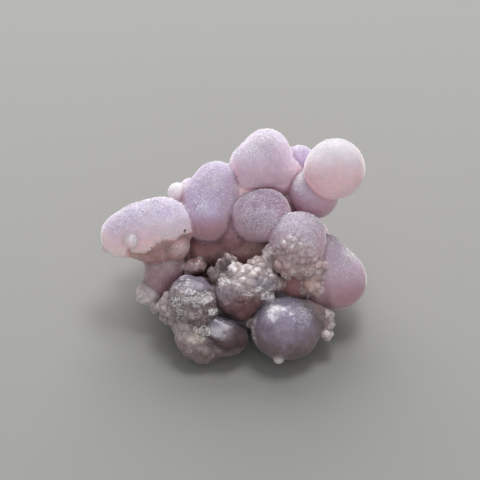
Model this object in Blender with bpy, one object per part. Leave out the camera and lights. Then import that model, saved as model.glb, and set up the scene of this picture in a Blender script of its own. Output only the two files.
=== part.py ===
"""Botryoidal chalcedony, a small hand specimen of grown-together round lobes.

The stone is one solid. Every lobe is the rounded hull of a few balls. Some lobes
carry a crust of small lumps. All of them are fused into one skin, thinned to a moderate
number of facets and cut flat where the stone rests.

The front is set out on a drawing plane that leans back by LEAN from the upright: across
runs to the right, up runs up the drawing and near comes out of it towards the viewer.
The back is set out in upright axes: x to the right, y to the back, z up, with the resting
plane at z = 0. The whole is then shifted a little so that the footprint is centred.
"""

import math

import bmesh
import bpy
from mathutils import Vector

# Driving dimensions, in millimetres and degrees
MM = 0.001
LEAN = math.radians(45.0)
DRAWING_HEIGHT = 7.77
FOOTPRINT_SHIFT = (0.04, 0.32)
SKIN_GRAIN = 0.2
FACET_COUNT = 9500
LOBE_DETAIL = 4
LUMP_DETAIL = 2
LUMP_STANDS_OUT = 0.7
SHARP_ANGLE = math.radians(70.0)
GOLDEN_TURN = math.pi * (3.0 - math.sqrt(5.0))
GOLDEN_SHARE = (math.sqrt(5.0) - 1.0) / 2.0

# Slow waves that keep the lobes from being true balls: direction, wavelength, share of radius
SWELL_WAVES = (
    ((0.82, 0.41, 0.40), 6.1, 0.016),
    ((-0.37, 0.86, 0.35), 4.7, 0.012),
    ((0.22, -0.48, 0.85), 5.3, 0.014),
    ((0.64, 0.30, -0.71), 3.1, 0.007),
)

# Lobes seen from the front: balls as (across, up, near, radius) on the drawing plane
FRONT_LOBES = {
    "pale": ((11.35, 8.7, 2.0, 3.45),),
    "pale_stalk": ((9.1, 5.95, -0.3, 2.85),),
    "crown": ((3.6, 10.45, -1.2, 2.85), (2.65, 9.1, -1.0, 3.15), (4.7, 8.5, -1.4, 2.7)),
    "behind_crown": ((7.45, 9.6, -2.2, 1.85),),
    "column": ((-2.1, 6.85, -0.6, 2.7), (-0.9, 5.7, -0.5, 2.2), (-3.2, 5.4, -0.2, 2.65),
               (-2.85, 3.2, 0.8, 2.7)),
    "pearl": ((-6.4, 6.1, -0.4, 1.08),),
    "pearl_back": ((-5.0, 6.6, -1.4, 1.15),),
    "loaf": ((-8.2, 2.0, 1.8, 3.5), (-10.5, 1.8, 1.8, 3.05), (-12.6, 1.15, 1.8, 2.5)),
    "loaf_heel": ((-6.75, 0.05, 2.3, 2.0), (-8.3, -0.8, 2.0, 1.65), (-10.4, -0.2, 1.9, 1.6)),
    "loaf_wart": ((-11.5, 0.75, 3.9, 1.0),),
    "loaf_nub": ((-14.35, -0.2, 1.6, 0.6),),
    "stalk": ((-7.8, -1.9, 0.9, 2.3), (-8.4, -3.8, 0.2, 1.9)),
    "stalk_foot": ((-9.4, -5.1, 0.0, 1.6),),
    "stalk_bead": ((-8.9, -6.9, 0.4, 0.65), (-8.3, -6.6, 0.6, 0.9)),
    "stalk_tail": ((-7.3, -7.9, 1.6, 1.0), (-7.5, -6.9, 1.6, 1.1)),
    "bead_left": ((-4.9, -2.5, 1.5, 0.8), (-3.9, -2.3, 1.7, 0.75), (-4.2, -1.9, 0.4, 0.9)),
    "sugar": ((-4.8, -5.65, 3.6, 2.4),),
    "sugar_low": ((-4.1, -6.9, 4.0, 2.15),),
    "sugar_side": ((-7.1, -6.6, 2.6, 1.4),),
    "foot_left": ((-5.0, -9.1, 3.3, 1.6), (-4.55, -10.5, 3.1, 2.05), (-3.5, -11.0, 2.75, 2.15),
                  (0.1, -10.7, 3.0, 1.35)),
    "foot_side": ((-6.3, -8.4, 2.6, 1.05),),
    "foot_mid": ((-2.1, -9.5, 3.6, 1.7), (-0.9, -9.9, 3.9, 1.75), (0.2, -10.2, 3.4, 1.45)),
    "heart": ((-0.2, -5.4, 3.6, 2.0), (1.5, -5.0, 4.2, 2.25), (2.9, -4.7, 3.7, 1.8),
              (0.9, -6.6, 3.5, 1.75)),
    "heart_bridge": ((-2.1, -5.3, 2.8, 1.4), (-1.8, -7.0, 2.6, 1.35)),
    "heart_cap": ((0.5, -3.2, 4.2, 1.35), (1.8, -3.9, 4.8, 1.7), (3.3, -3.9, 4.0, 1.4)),
    "heart_ridge": ((2.6, -2.4, 3.8, 1.25), (4.2, -1.9, 2.9, 1.0)),
    "heart_bead_a": ((-0.6, -1.8, 3.6, 0.95),),
    "heart_bead_b": ((-1.25, -2.2, 3.6, 0.8),),
    "heart_bead_c": ((-2.5, -2.85, 3.2, 0.55),),
    "heart_bead_d": ((-2.0, -3.3, 3.4, 0.8),),
    "heart_clump": ((-1.0, -3.9, 3.8, 0.85), (-0.2, -3.5, 4.0, 1.1)),
    "heart_nub": ((3.85, -5.6, 4.2, 0.85),),
    "heart_side": ((4.6, -4.2, 2.9, 1.05),),
    "mid_right": ((7.2, 0.7, 3.0, 3.2),),
    "skirt": ((6.3, -1.3, 3.0, 2.1), (8.6, -2.4, 2.9, 1.5)),
    "skirt_leg": ((8.8, -2.8, 2.9, 1.2), (8.7, -4.4, 2.8, 1.1)),
    "skirt_left": ((4.35, -0.9, 3.2, 1.1),),
    "skirt_wall": ((6.7, -4.3, 1.9, 2.1),),
    "lilac": ((3.55, 3.45, 1.6, 3.02), (2.3, 3.2, 1.0, 2.85)),
    "lilac_wall": ((0.4, 2.7, 0.3, 2.1), (-0.2, 0.2, -0.5, 2.4)),
    "crown_web": ((0.8, 5.7, -0.9, 2.3), (3.4, 6.2, -1.2, 2.2), (6.3, 7.6, -1.7, 2.3)),
    "plum": ((11.75, -3.85, 0.4, 3.3), (10.3, -0.95, 0.2, 2.35)),
    "plum_in": ((9.7, -4.3, 0.4, 2.8),),
    "foot_right": ((5.5, -9.15, 3.2, 3.62), (6.6, -9.2, 2.9, 3.4)),
    "ear": ((7.8, -8.2, 3.2, 2.2), (10.2, -8.1, 2.8, 1.05), (10.2, -8.8, 2.8, 0.95)),
    "ear_low": ((10.3, -9.9, 2.9, 0.8), (10.0, -9.3, 2.8, 0.7)),
    "toe": ((5.0, -12.65, 4.6, 0.6),),
    "bed_left": ((-3.6, -6.6, 0.6, 3.2),),
    "bed_mid": ((1.2, -7.0, 0.8, 3.3),),
    "bed_right": ((5.4, -6.0, 0.2, 3.3),),
    "bed_plum": ((8.0, -4.2, -1.0, 3.0),),
    "hollow_wall": ((-3.6, -0.5, -0.8, 2.4), (0.2, -0.7, -0.4, 2.2), (3.4, -0.4, -0.5, 2.3)),
    "core": ((0.0, -0.8, -4.0, 5.0), (4.3, -0.6, -3.0, 4.2), (-4.3, -0.6, -2.4, 3.6)),
    "neck": ((0.5, 3.6, -3.0, 3.6), (5.5, 4.6, -2.6, 3.2)),
}

# Lobes of the back and the root: balls as (x, y, z, radius) in upright axes
BACK_LOBES = {
    "back_shoulder": ((-7.6, 4.6, 6.2, 2.9), (-8.5, 3.6, 5.2, 2.3)),
    "back_left_top": ((-2.7, 7.4, 8.2, 2.9),),
    "back_top": ((3.0, 8.8, 9.0, 3.2), (2.4, 7.6, 11.0, 2.5)),
    "back_right_top": ((8.0, 7.4, 9.8, 2.8),),
    "back_right": ((6.9, 6.6, 4.8, 3.0), (7.7, 5.2, 4.0, 2.6)),
    "back_middle": ((0.3, 9.2, 4.6, 3.1),),
    "back_grape": ((4.6, 9.6, 4.4, 2.2),),
    "back_low_left": ((-5.4, 7.6, 3.6, 2.5),),
    "back_side": ((9.4, 3.0, 3.4, 2.0),),
    "back_bud": ((-10.6, 3.2, 7.4, 2.1),),
    "back_heel": ((-9.2, 2.6, 4.6, 1.9),),
    "root_right": ((9.0, 6.2, 2.4, 2.0),),
    "root_left": ((-2.2, 8.6, 1.9, 1.9),),
    "root_back": ((2.6, 8.4, 1.8, 1.8),),
    "root": ((-3.4, 4.9, 1.5, 2.1), (-0.6, 3.2, 1.2, 2.3)),
    "root_step": ((4.4, 4.0, 1.4, 2.3), (2.2, 5.2, 1.6, 2.1)),
    "root_front": ((-4.8, 0.4, 1.7, 1.9), (-1.6, -2.4, 2.6, 2.2)),
    "root_inner": ((3.4, -2.4, 2.8, 2.4), (5.9, 0.8, 1.6, 1.8)),
}

# Crusts: lobe, ball, facing on the drawing plane, spread in degrees, lumps, smallest and
# largest lump radius
FRONT_CRUSTS = (
    ("mid_right", 0, (-0.1, -0.75, 0.65), 45, 17, 0.36, 0.58),
    ("skirt", 0, (0.0, -0.2, 1.0), 72, 15, 0.40, 0.68),
    ("skirt", 1, (0.5, 0.1, 1.0), 70, 10, 0.34, 0.60),
    ("skirt_leg", 0, (0.4, 0.0, 1.0), 75, 7, 0.32, 0.52),
    ("skirt_leg", 1, (0.2, -0.3, 1.0), 85, 10, 0.32, 0.54),
    ("skirt_left", 0, (-0.4, 0.1, 1.0), 75, 8, 0.32, 0.50),
    ("heart_cap", 0, (0.1, 0.3, 1.0), 60, 8, 0.36, 0.58),
    ("heart_cap", 1, (-0.2, 0.7, 0.8), 52, 8, 0.38, 0.62),
    ("heart_cap", 2, (0.4, 0.9, 0.6), 55, 6, 0.34, 0.52),
    ("heart_ridge", 0, (0.0, 0.6, 0.8), 70, 7, 0.30, 0.44),
    ("heart_bead_a", 0, (-0.2, 0.3, 1.0), 75, 6, 0.30, 0.42),
    ("heart_bead_b", 0, (-0.3, 0.0, 1.0), 75, 5, 0.26, 0.36),
    ("heart_side", 0, (0.0, 0.2, 1.0), 60, 5, 0.28, 0.40),
    ("heart_clump", 0, (-0.3, 0.1, 1.0), 70, 6, 0.28, 0.42),
    ("bead_left", 0, (-0.2, 0.2, 1.0), 80, 6, 0.28, 0.38),
    ("bead_left", 1, (0.2, 0.3, 1.0), 80, 6, 0.26, 0.36),
    ("sugar", 0, (0.75, -0.45, 0.5), 26, 5, 0.30, 0.44),
    ("sugar", 0, (-0.85, -0.25, 0.5), 28, 6, 0.28, 0.40),
    ("sugar_low", 0, (-0.7, -0.1, 0.7), 34, 6, 0.28, 0.42),
    ("sugar_side", 0, (-0.5, -0.2, 1.0), 75, 9, 0.28, 0.42),
    ("foot_left", 0, (0.6, 0.8, 0.6), 30, 6, 0.28, 0.42),
    ("foot_side", 0, (-0.5, -0.1, 0.9), 75, 7, 0.28, 0.42),
    ("foot_left", 0, (-0.9, 0.2, 0.4), 28, 5, 0.28, 0.40),
    ("foot_right", 0, (-1.0, 0.12, 0.3), 12, 3, 0.40, 0.48),
    ("foot_right", 0, (-1.0, -0.26, 0.3), 7, 2, 0.30, 0.36),
    ("ear", 1, (1.0, 0.4, 0.3), 45, 5, 0.26, 0.36),
    ("ear", 2, (1.0, -0.2, 0.3), 40, 3, 0.26, 0.34),
    ("ear_low", 0, (0.7, -0.4, 0.6), 65, 5, 0.28, 0.40),
    ("stalk_foot", 0, (-0.8, -0.6, 0.4), 26, 4, 0.34, 0.48),
    ("stalk_bead", 0, (-0.5, -0.3, 0.8), 60, 4, 0.28, 0.38),
    ("stalk_tail", 0, (-0.3, -0.3, 0.9), 70, 7, 0.28, 0.42),
)

# Crusts of the back: the same, with the facing in upright axes
BACK_CRUSTS = (
    ("back_low_left", 0, (-0.3, 0.8, -0.3), 55, 12, 0.36, 0.60),
    ("root_right", 0, (0.5, 0.7, 0.0), 65, 11, 0.36, 0.56),
    ("root_left", 0, (-0.2, 0.9, 0.1), 60, 9, 0.36, 0.54),
    ("root_back", 0, (0.2, 0.9, 0.1), 60, 9, 0.36, 0.54),
    ("back_middle", 0, (-0.4, 0.6, -0.6), 32, 8, 0.36, 0.54),
    ("back_side", 0, (0.8, 0.2, -0.3), 50, 8, 0.34, 0.52),
)

# Finish of the stone
STONE_NODE = "chalcedony_cluster"
STONE_COLOUR = (0.56, 0.40, 0.52, 1.0)
STONE_ROUGHNESS = 0.42


def clear_scene():
    """Remove every object that is in the file."""
    for old in list(bpy.data.objects):
        bpy.data.objects.remove(old, do_unlink=True)


def turned(across, up, near):
    """Turn a direction of the drawing plane into the stone's frame."""
    sine, cosine = math.sin(LEAN), math.cos(LEAN)
    return Vector((across, up * sine - near * cosine, up * cosine + near * sine))


def all_balls():
    """Every lobe's balls in the stone's frame: name to a list of (centre, radius), in mm."""
    shift = Vector((*FOOTPRINT_SHIFT, 0.0))
    lift = shift + Vector((0.0, 0.0, DRAWING_HEIGHT))
    balls = {}
    for name, drawn in FRONT_LOBES.items():
        balls[name] = [(turned(*ball[:3]) + lift, ball[3]) for ball in drawn]
    for name, placed in BACK_LOBES.items():
        balls[name] = [(Vector(ball[:3]) + shift, ball[3]) for ball in placed]
    return balls


def swell(point):
    """Share by which a surface point moves away from its ball's centre: a sum of sine waves."""
    waves = (
        share * math.sin(math.tau * Vector(direction).dot(point) / length)
        for direction, length, share in SWELL_WAVES
    )
    return 1.0 + sum(waves)


def add_lobe(mesh, balls, detail):
    """Add the rounded hull of some balls: each direction goes to the ball that reaches furthest."""
    made = bmesh.ops.create_icosphere(mesh, subdivisions=detail, radius=1.0)
    for vertex in made["verts"]:
        outward = vertex.co.normalized()
        centre, radius = max(balls, key=lambda ball: ball[0].dot(outward) + ball[1])
        surface = centre + outward * radius
        vertex.co = (centre + outward * radius * swell(surface)) * MM


def crust_lumps(centre, radius, facing, spread, count, smallest, largest):
    """Lumps set on a ball in a golden spiral around the facing direction, out to the spread."""
    axis = facing.normalized()
    side = axis.orthogonal().normalized()
    other = axis.cross(side)
    for step in range(count):
        tilt = math.radians(spread) * math.sqrt((step + 0.5) / count)
        turn = GOLDEN_TURN * step
        outward = axis * math.cos(tilt)
        outward += (side * math.cos(turn) + other * math.sin(turn)) * math.sin(tilt)
        share = (GOLDEN_SHARE * (step + 1)) % 1.0
        size = smallest + (largest - smallest) * share
        yield centre + outward * (radius * swell(centre + outward * radius)
                                  - size * (1.0 - LUMP_STANDS_OUT)), size


def add_crusts(mesh, balls):
    """Add the lumps of every crust."""
    crusts = [(row, turned(*row[2])) for row in FRONT_CRUSTS]
    crusts += [(row, Vector(row[2])) for row in BACK_CRUSTS]
    for (name, number, _, spread, count, smallest, largest), facing in crusts:
        centre, radius = balls[name][number]
        for lump in crust_lumps(centre, radius, facing, spread, count, smallest, largest):
            add_lobe(mesh, [lump], LUMP_DETAIL)


def evaluated_copy(stone):
    """The mesh that the stone's modifiers give, as a new mesh."""
    depsgraph = bpy.context.evaluated_depsgraph_get()
    depsgraph.update()
    return bpy.data.meshes.new_from_object(stone.evaluated_get(depsgraph))


def fuse(stone):
    """Fuse the overlapping lobes into one skin and thin it to the facet count."""
    remesh = stone.modifiers.new("one skin", "REMESH")
    remesh.mode = "VOXEL"
    remesh.voxel_size = SKIN_GRAIN * MM
    stone.data = evaluated_copy(stone)
    stone.modifiers.clear()
    keep_outer_skin(stone.data)
    thin = stone.modifiers.new("fewer facets", "DECIMATE")
    thin.ratio = FACET_COUNT / (2.0 * len(stone.data.polygons))
    stone.data = evaluated_copy(stone)
    stone.modifiers.clear()


def keep_outer_skin(skin):
    """Drop the skins of hollows that the lobes close in, which are smaller than the outer one."""
    mesh = bmesh.new()
    mesh.from_mesh(skin)
    waiting = set(mesh.verts)
    islands = []
    while waiting:
        front = [waiting.pop()]
        island = set(front)
        while front:
            for edge in front.pop().link_edges:
                for vertex in edge.verts:
                    if vertex in waiting:
                        waiting.discard(vertex)
                        island.add(vertex)
                        front.append(vertex)
        islands.append(island)
    islands.sort(key=len)
    for inner in islands[:-1]:
        bmesh.ops.delete(mesh, geom=list(inner), context="VERTS")
    mesh.to_mesh(skin)
    mesh.free()


def cut_flat(skin):
    """Cut the skin at the resting plane, close the cut and leave triangles."""
    mesh = bmesh.new()
    mesh.from_mesh(skin)
    everything = mesh.verts[:] + mesh.edges[:] + mesh.faces[:]
    bmesh.ops.bisect_plane(mesh, geom=everything, plane_co=(0.0, 0.0, 0.0),
                           plane_no=(0.0, 0.0, -1.0), clear_outer=True)
    rims = [edge for edge in mesh.edges if edge.is_boundary]
    bmesh.ops.holes_fill(mesh, edges=rims, sides=0)
    for vertex in {vertex for rim in rims for vertex in rim.verts}:
        vertex.co.z = 0.0
    bmesh.ops.triangulate(mesh, faces=mesh.faces[:])
    bmesh.ops.recalc_face_normals(mesh, faces=mesh.faces[:])
    mesh.to_mesh(skin)
    mesh.free()


def stone_material():
    """Waxy lilac chalcedony."""
    material = bpy.data.materials.new("waxy lilac chalcedony")
    material.use_nodes = True
    shader = material.node_tree.nodes["Principled BSDF"]
    shader.inputs["Base Color"].default_value = STONE_COLOUR
    shader.inputs["Roughness"].default_value = STONE_ROUGHNESS
    shader.inputs["Metallic"].default_value = 0.0
    return material


def build_stone():
    """Make the stone as one solid object."""
    mesh = bmesh.new()
    balls = all_balls()
    for lobe in balls.values():
        add_lobe(mesh, lobe, LOBE_DETAIL)
    add_crusts(mesh, balls)
    skin = bpy.data.meshes.new(STONE_NODE)
    mesh.to_mesh(skin)
    mesh.free()
    stone = bpy.data.objects.new(STONE_NODE, skin)
    bpy.context.collection.objects.link(stone)
    fuse(stone)
    cut_flat(stone.data)
    stone.data.materials.clear()
    stone.data.materials.append(stone_material())
    stone.data.shade_smooth()
    stone.data.set_sharp_from_angle(angle=SHARP_ANGLE)
    return stone


clear_scene()
build_stone()
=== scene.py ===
"""Looks of a botryoidal chalcedony specimen: a fused skin of round waxy lobes, the sugar
crystals of its crusts, and a plain stage.

The lobes repeat the solid's own table. Each is the rounded hull of a few balls. The
front is set out on a drawing plane that leans back by LEAN: across runs to the right, up runs
up the drawing and near comes out of it. The back is set out in upright axes. Lengths in the
tables are millimetres.
"""

import math
from itertools import combinations_with_replacement

import bmesh
import bpy
import numpy as np
from bpy.props import FloatProperty, FloatVectorProperty, IntProperty, PointerProperty
from bpy.types import Operator, Panel, PropertyGroup
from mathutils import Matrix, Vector
from mathutils.bvhtree import BVHTree


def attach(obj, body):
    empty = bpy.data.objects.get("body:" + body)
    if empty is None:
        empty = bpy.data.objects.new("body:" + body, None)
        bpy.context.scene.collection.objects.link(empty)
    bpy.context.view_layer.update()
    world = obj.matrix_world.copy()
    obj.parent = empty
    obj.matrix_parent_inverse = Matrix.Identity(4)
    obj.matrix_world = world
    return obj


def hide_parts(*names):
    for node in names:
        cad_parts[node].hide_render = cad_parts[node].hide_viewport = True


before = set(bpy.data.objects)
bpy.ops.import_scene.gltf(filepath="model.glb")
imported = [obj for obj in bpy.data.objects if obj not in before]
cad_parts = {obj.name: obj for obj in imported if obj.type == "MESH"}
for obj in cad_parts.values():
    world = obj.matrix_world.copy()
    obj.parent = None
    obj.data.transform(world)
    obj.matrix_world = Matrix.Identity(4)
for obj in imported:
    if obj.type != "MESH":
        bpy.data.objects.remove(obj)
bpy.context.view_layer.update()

bl_info = {
    "name": "Botryoidal chalcedony specimen",
    "version": (1, 0, 0),
    "blender": (4, 5, 0),
    "location": "3D View > Sidebar > Chalcedony",
    "description": "Builds a cluster of waxy lilac lobes with sugar crusts, and its stage",
    "category": "Object",
}

NODE = "chalcedony_cluster"
BODY = "root"

# The setting-out of the stone
MM = 0.001
LEAN = math.radians(45.0)
DRAWING_ORIGIN = np.array((0.04, 0.32, 7.77))
LUMP_STANDS_OUT = 0.7
LOWEST_CRYSTAL = 0.4
GOLDEN_TURN = math.pi * (3.0 - math.sqrt(5.0))
GOLDEN_SHARE = (math.sqrt(5.0) - 1.0) / 2.0

# Limits of masks and distances
FAR = 99.0
TINY = 1e-9
FAINT = 0.01
GLOSSY = 0.25

# Fixed colours and values inside the materials
VEIN_WHITE = (0.96, 0.93, 0.98, 1.0)
RIME_WHITE = (0.96, 0.94, 0.98, 1.0)
FLECK_WHITE = (0.92, 0.88, 0.89, 1.0)
GRAIN_WHITE = (0.8, 0.77, 0.78, 1.0)
GRAIN_CLEAR = (0.3, 0.22, 0.23, 1.0)
FROST_WHITE = (1.0, 0.94, 0.98, 1.0)
CRYSTAL_WHITE = (0.96, 0.92, 0.92, 1.0)
CHIP_DARK = (0.13, 0.09, 0.11, 1.0)
RING_PALE = (0.85, 0.78, 0.84, 1.0)
RING_SPACING = 0.00042
QUARTZ_IOR = 1.54
MIDDLE = (0.0, 0.0, 0.0)

# The stage: where the lights aim, in metres, half of the floor's side, in millimetres, and the
# middle of the picture on the drawing plane
LIGHT_AIM = Vector((0.0, 0.0, 0.006))
FLOOR_HALF = 1500.0
PICTURE_MIDDLE = (0.68, 0.68, 0.0)

# Slow waves that keep the lobes from being true balls: direction, wavelength, share of radius
SWELL_WAVES = (
    ((0.82, 0.41, 0.4), 6.1, 0.016),
    ((-0.37, 0.86, 0.35), 4.7, 0.012),
    ((0.22, -0.48, 0.85), 5.3, 0.014),
    ((0.64, 0.3, -0.71), 3.1, 0.007),
)

# Lobes seen from the front: balls as (across, up, near, radius) on the drawing plane
FRONT_LOBES = {
    "pale": ((11.35, 8.7, 2.0, 3.45),),
    "pale_stalk": ((9.1, 5.95, -0.3, 2.85),),
    "crown": ((3.6, 10.45, -1.2, 2.85), (2.65, 9.1, -1.0, 3.15), (4.7, 8.5, -1.4, 2.7)),
    "behind_crown": ((7.45, 9.6, -2.2, 1.85),),
    "column": ((-2.1, 6.85, -0.6, 2.7), (-0.9, 5.7, -0.5, 2.2), (-3.2, 5.4, -0.2, 2.65),
               (-2.85, 3.2, 0.8, 2.7)),
    "pearl": ((-6.4, 6.1, -0.4, 1.08),),
    "pearl_back": ((-5.0, 6.6, -1.4, 1.15),),
    "loaf": ((-8.2, 2.0, 1.8, 3.5), (-10.5, 1.8, 1.8, 3.05), (-12.6, 1.15, 1.8, 2.5)),
    "loaf_heel": ((-6.75, 0.05, 2.3, 2.0), (-8.3, -0.8, 2.0, 1.65), (-10.4, -0.2, 1.9, 1.6)),
    "loaf_wart": ((-11.5, 0.75, 3.9, 1.0),),
    "loaf_nub": ((-14.35, -0.2, 1.6, 0.6),),
    "stalk": ((-7.8, -1.9, 0.9, 2.3), (-8.4, -3.8, 0.2, 1.9)),
    "stalk_foot": ((-9.4, -5.1, 0.0, 1.6),),
    "stalk_bead": ((-8.9, -6.9, 0.4, 0.65), (-8.3, -6.6, 0.6, 0.9)),
    "stalk_tail": ((-7.3, -7.9, 1.6, 1.0), (-7.5, -6.9, 1.6, 1.1)),
    "bead_left": ((-4.9, -2.5, 1.5, 0.8), (-3.9, -2.3, 1.7, 0.75), (-4.2, -1.9, 0.4, 0.9)),
    "sugar": ((-4.8, -5.65, 3.6, 2.4),),
    "sugar_low": ((-4.1, -6.9, 4.0, 2.15),),
    "sugar_side": ((-7.1, -6.6, 2.6, 1.4),),
    "foot_left": ((-5.0, -9.1, 3.3, 1.6), (-4.55, -10.5, 3.1, 2.05), (-3.5, -11.0, 2.75, 2.15),
                  (0.1, -10.7, 3.0, 1.35)),
    "foot_side": ((-6.3, -8.4, 2.6, 1.05),),
    "foot_mid": ((-2.1, -9.5, 3.6, 1.7), (-0.9, -9.9, 3.9, 1.75), (0.2, -10.2, 3.4, 1.45)),
    "heart": ((-0.2, -5.4, 3.6, 2.0), (1.5, -5.0, 4.2, 2.25), (2.9, -4.7, 3.7, 1.8),
              (0.9, -6.6, 3.5, 1.75)),
    "heart_bridge": ((-2.1, -5.3, 2.8, 1.4), (-1.8, -7.0, 2.6, 1.35)),
    "heart_cap": ((0.5, -3.2, 4.2, 1.35), (1.8, -3.9, 4.8, 1.7), (3.3, -3.9, 4.0, 1.4)),
    "heart_ridge": ((2.6, -2.4, 3.8, 1.25), (4.2, -1.9, 2.9, 1.0)),
    "heart_bead_a": ((-0.6, -1.8, 3.6, 0.95),),
    "heart_bead_b": ((-1.25, -2.2, 3.6, 0.8),),
    "heart_bead_c": ((-2.5, -2.85, 3.2, 0.55),),
    "heart_bead_d": ((-2.0, -3.3, 3.4, 0.8),),
    "heart_clump": ((-1.0, -3.9, 3.8, 0.85), (-0.2, -3.5, 4.0, 1.1)),
    "heart_nub": ((3.85, -5.6, 4.2, 0.85),),
    "heart_side": ((4.6, -4.2, 2.9, 1.05),),
    "mid_right": ((7.2, 0.7, 3.0, 3.2),),
    "skirt": ((6.3, -1.3, 3.0, 2.1), (8.6, -2.4, 2.9, 1.5)),
    "skirt_leg": ((8.8, -2.8, 2.9, 1.2), (8.7, -4.4, 2.8, 1.1)),
    "skirt_left": ((4.35, -0.9, 3.2, 1.1),),
    "skirt_wall": ((6.7, -4.3, 1.9, 2.1),),
    "lilac": ((3.55, 3.45, 1.6, 3.02), (2.3, 3.2, 1.0, 2.85)),
    "lilac_wall": ((0.4, 2.7, 0.3, 2.1), (-0.2, 0.2, -0.5, 2.4)),
    "crown_web": ((0.8, 5.7, -0.9, 2.3), (3.4, 6.2, -1.2, 2.2), (6.3, 7.6, -1.7, 2.3)),
    "plum": ((11.75, -3.85, 0.4, 3.3), (10.3, -0.95, 0.2, 2.35)),
    "plum_in": ((9.7, -4.3, 0.4, 2.8),),
    "foot_right": ((5.5, -9.15, 3.2, 3.62), (6.6, -9.2, 2.9, 3.4)),
    "ear": ((7.8, -8.2, 3.2, 2.2), (10.2, -8.1, 2.8, 1.05), (10.2, -8.8, 2.8, 0.95)),
    "ear_low": ((10.3, -9.9, 2.9, 0.8), (10.0, -9.3, 2.8, 0.7)),
    "toe": ((5.0, -12.65, 4.6, 0.6),),
    "bed_left": ((-3.6, -6.6, 0.6, 3.2),),
    "bed_mid": ((1.2, -7.0, 0.8, 3.3),),
    "bed_right": ((5.4, -6.0, 0.2, 3.3),),
    "bed_plum": ((8.0, -4.2, -1.0, 3.0),),
    "hollow_wall": ((-3.6, -0.5, -0.8, 2.4), (0.2, -0.7, -0.4, 2.2), (3.4, -0.4, -0.5, 2.3)),
    "core": ((0.0, -0.8, -4.0, 5.0), (4.3, -0.6, -3.0, 4.2), (-4.3, -0.6, -2.4, 3.6)),
    "neck": ((0.5, 3.6, -3.0, 3.6), (5.5, 4.6, -2.6, 3.2)),
}

# Lobes of the back and the root: balls as (x, y, z, radius) in upright axes
BACK_LOBES = {
    "back_shoulder": ((-7.6, 4.6, 6.2, 2.9), (-8.5, 3.6, 5.2, 2.3)),
    "back_left_top": ((-2.7, 7.4, 8.2, 2.9),),
    "back_top": ((3.0, 8.8, 9.0, 3.2), (2.4, 7.6, 11.0, 2.5)),
    "back_right_top": ((8.0, 7.4, 9.8, 2.8),),
    "back_right": ((6.9, 6.6, 4.8, 3.0), (7.7, 5.2, 4.0, 2.6)),
    "back_middle": ((0.3, 9.2, 4.6, 3.1),),
    "back_grape": ((4.6, 9.6, 4.4, 2.2),),
    "back_low_left": ((-5.4, 7.6, 3.6, 2.5),),
    "back_side": ((9.4, 3.0, 3.4, 2.0),),
    "back_bud": ((-10.6, 3.2, 7.4, 2.1),),
    "back_heel": ((-9.2, 2.6, 4.6, 1.9),),
    "root_right": ((9.0, 6.2, 2.4, 2.0),),
    "root_left": ((-2.2, 8.6, 1.9, 1.9),),
    "root_back": ((2.6, 8.4, 1.8, 1.8),),
    "root": ((-3.4, 4.9, 1.5, 2.1), (-0.6, 3.2, 1.2, 2.3)),
    "root_step": ((4.4, 4.0, 1.4, 2.3), (2.2, 5.2, 1.6, 2.1)),
    "root_front": ((-4.8, 0.4, 1.7, 1.9), (-1.6, -2.4, 2.6, 2.2)),
    "root_inner": ((3.4, -2.4, 2.8, 2.4), (5.9, 0.8, 1.6, 1.8)),
}

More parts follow.
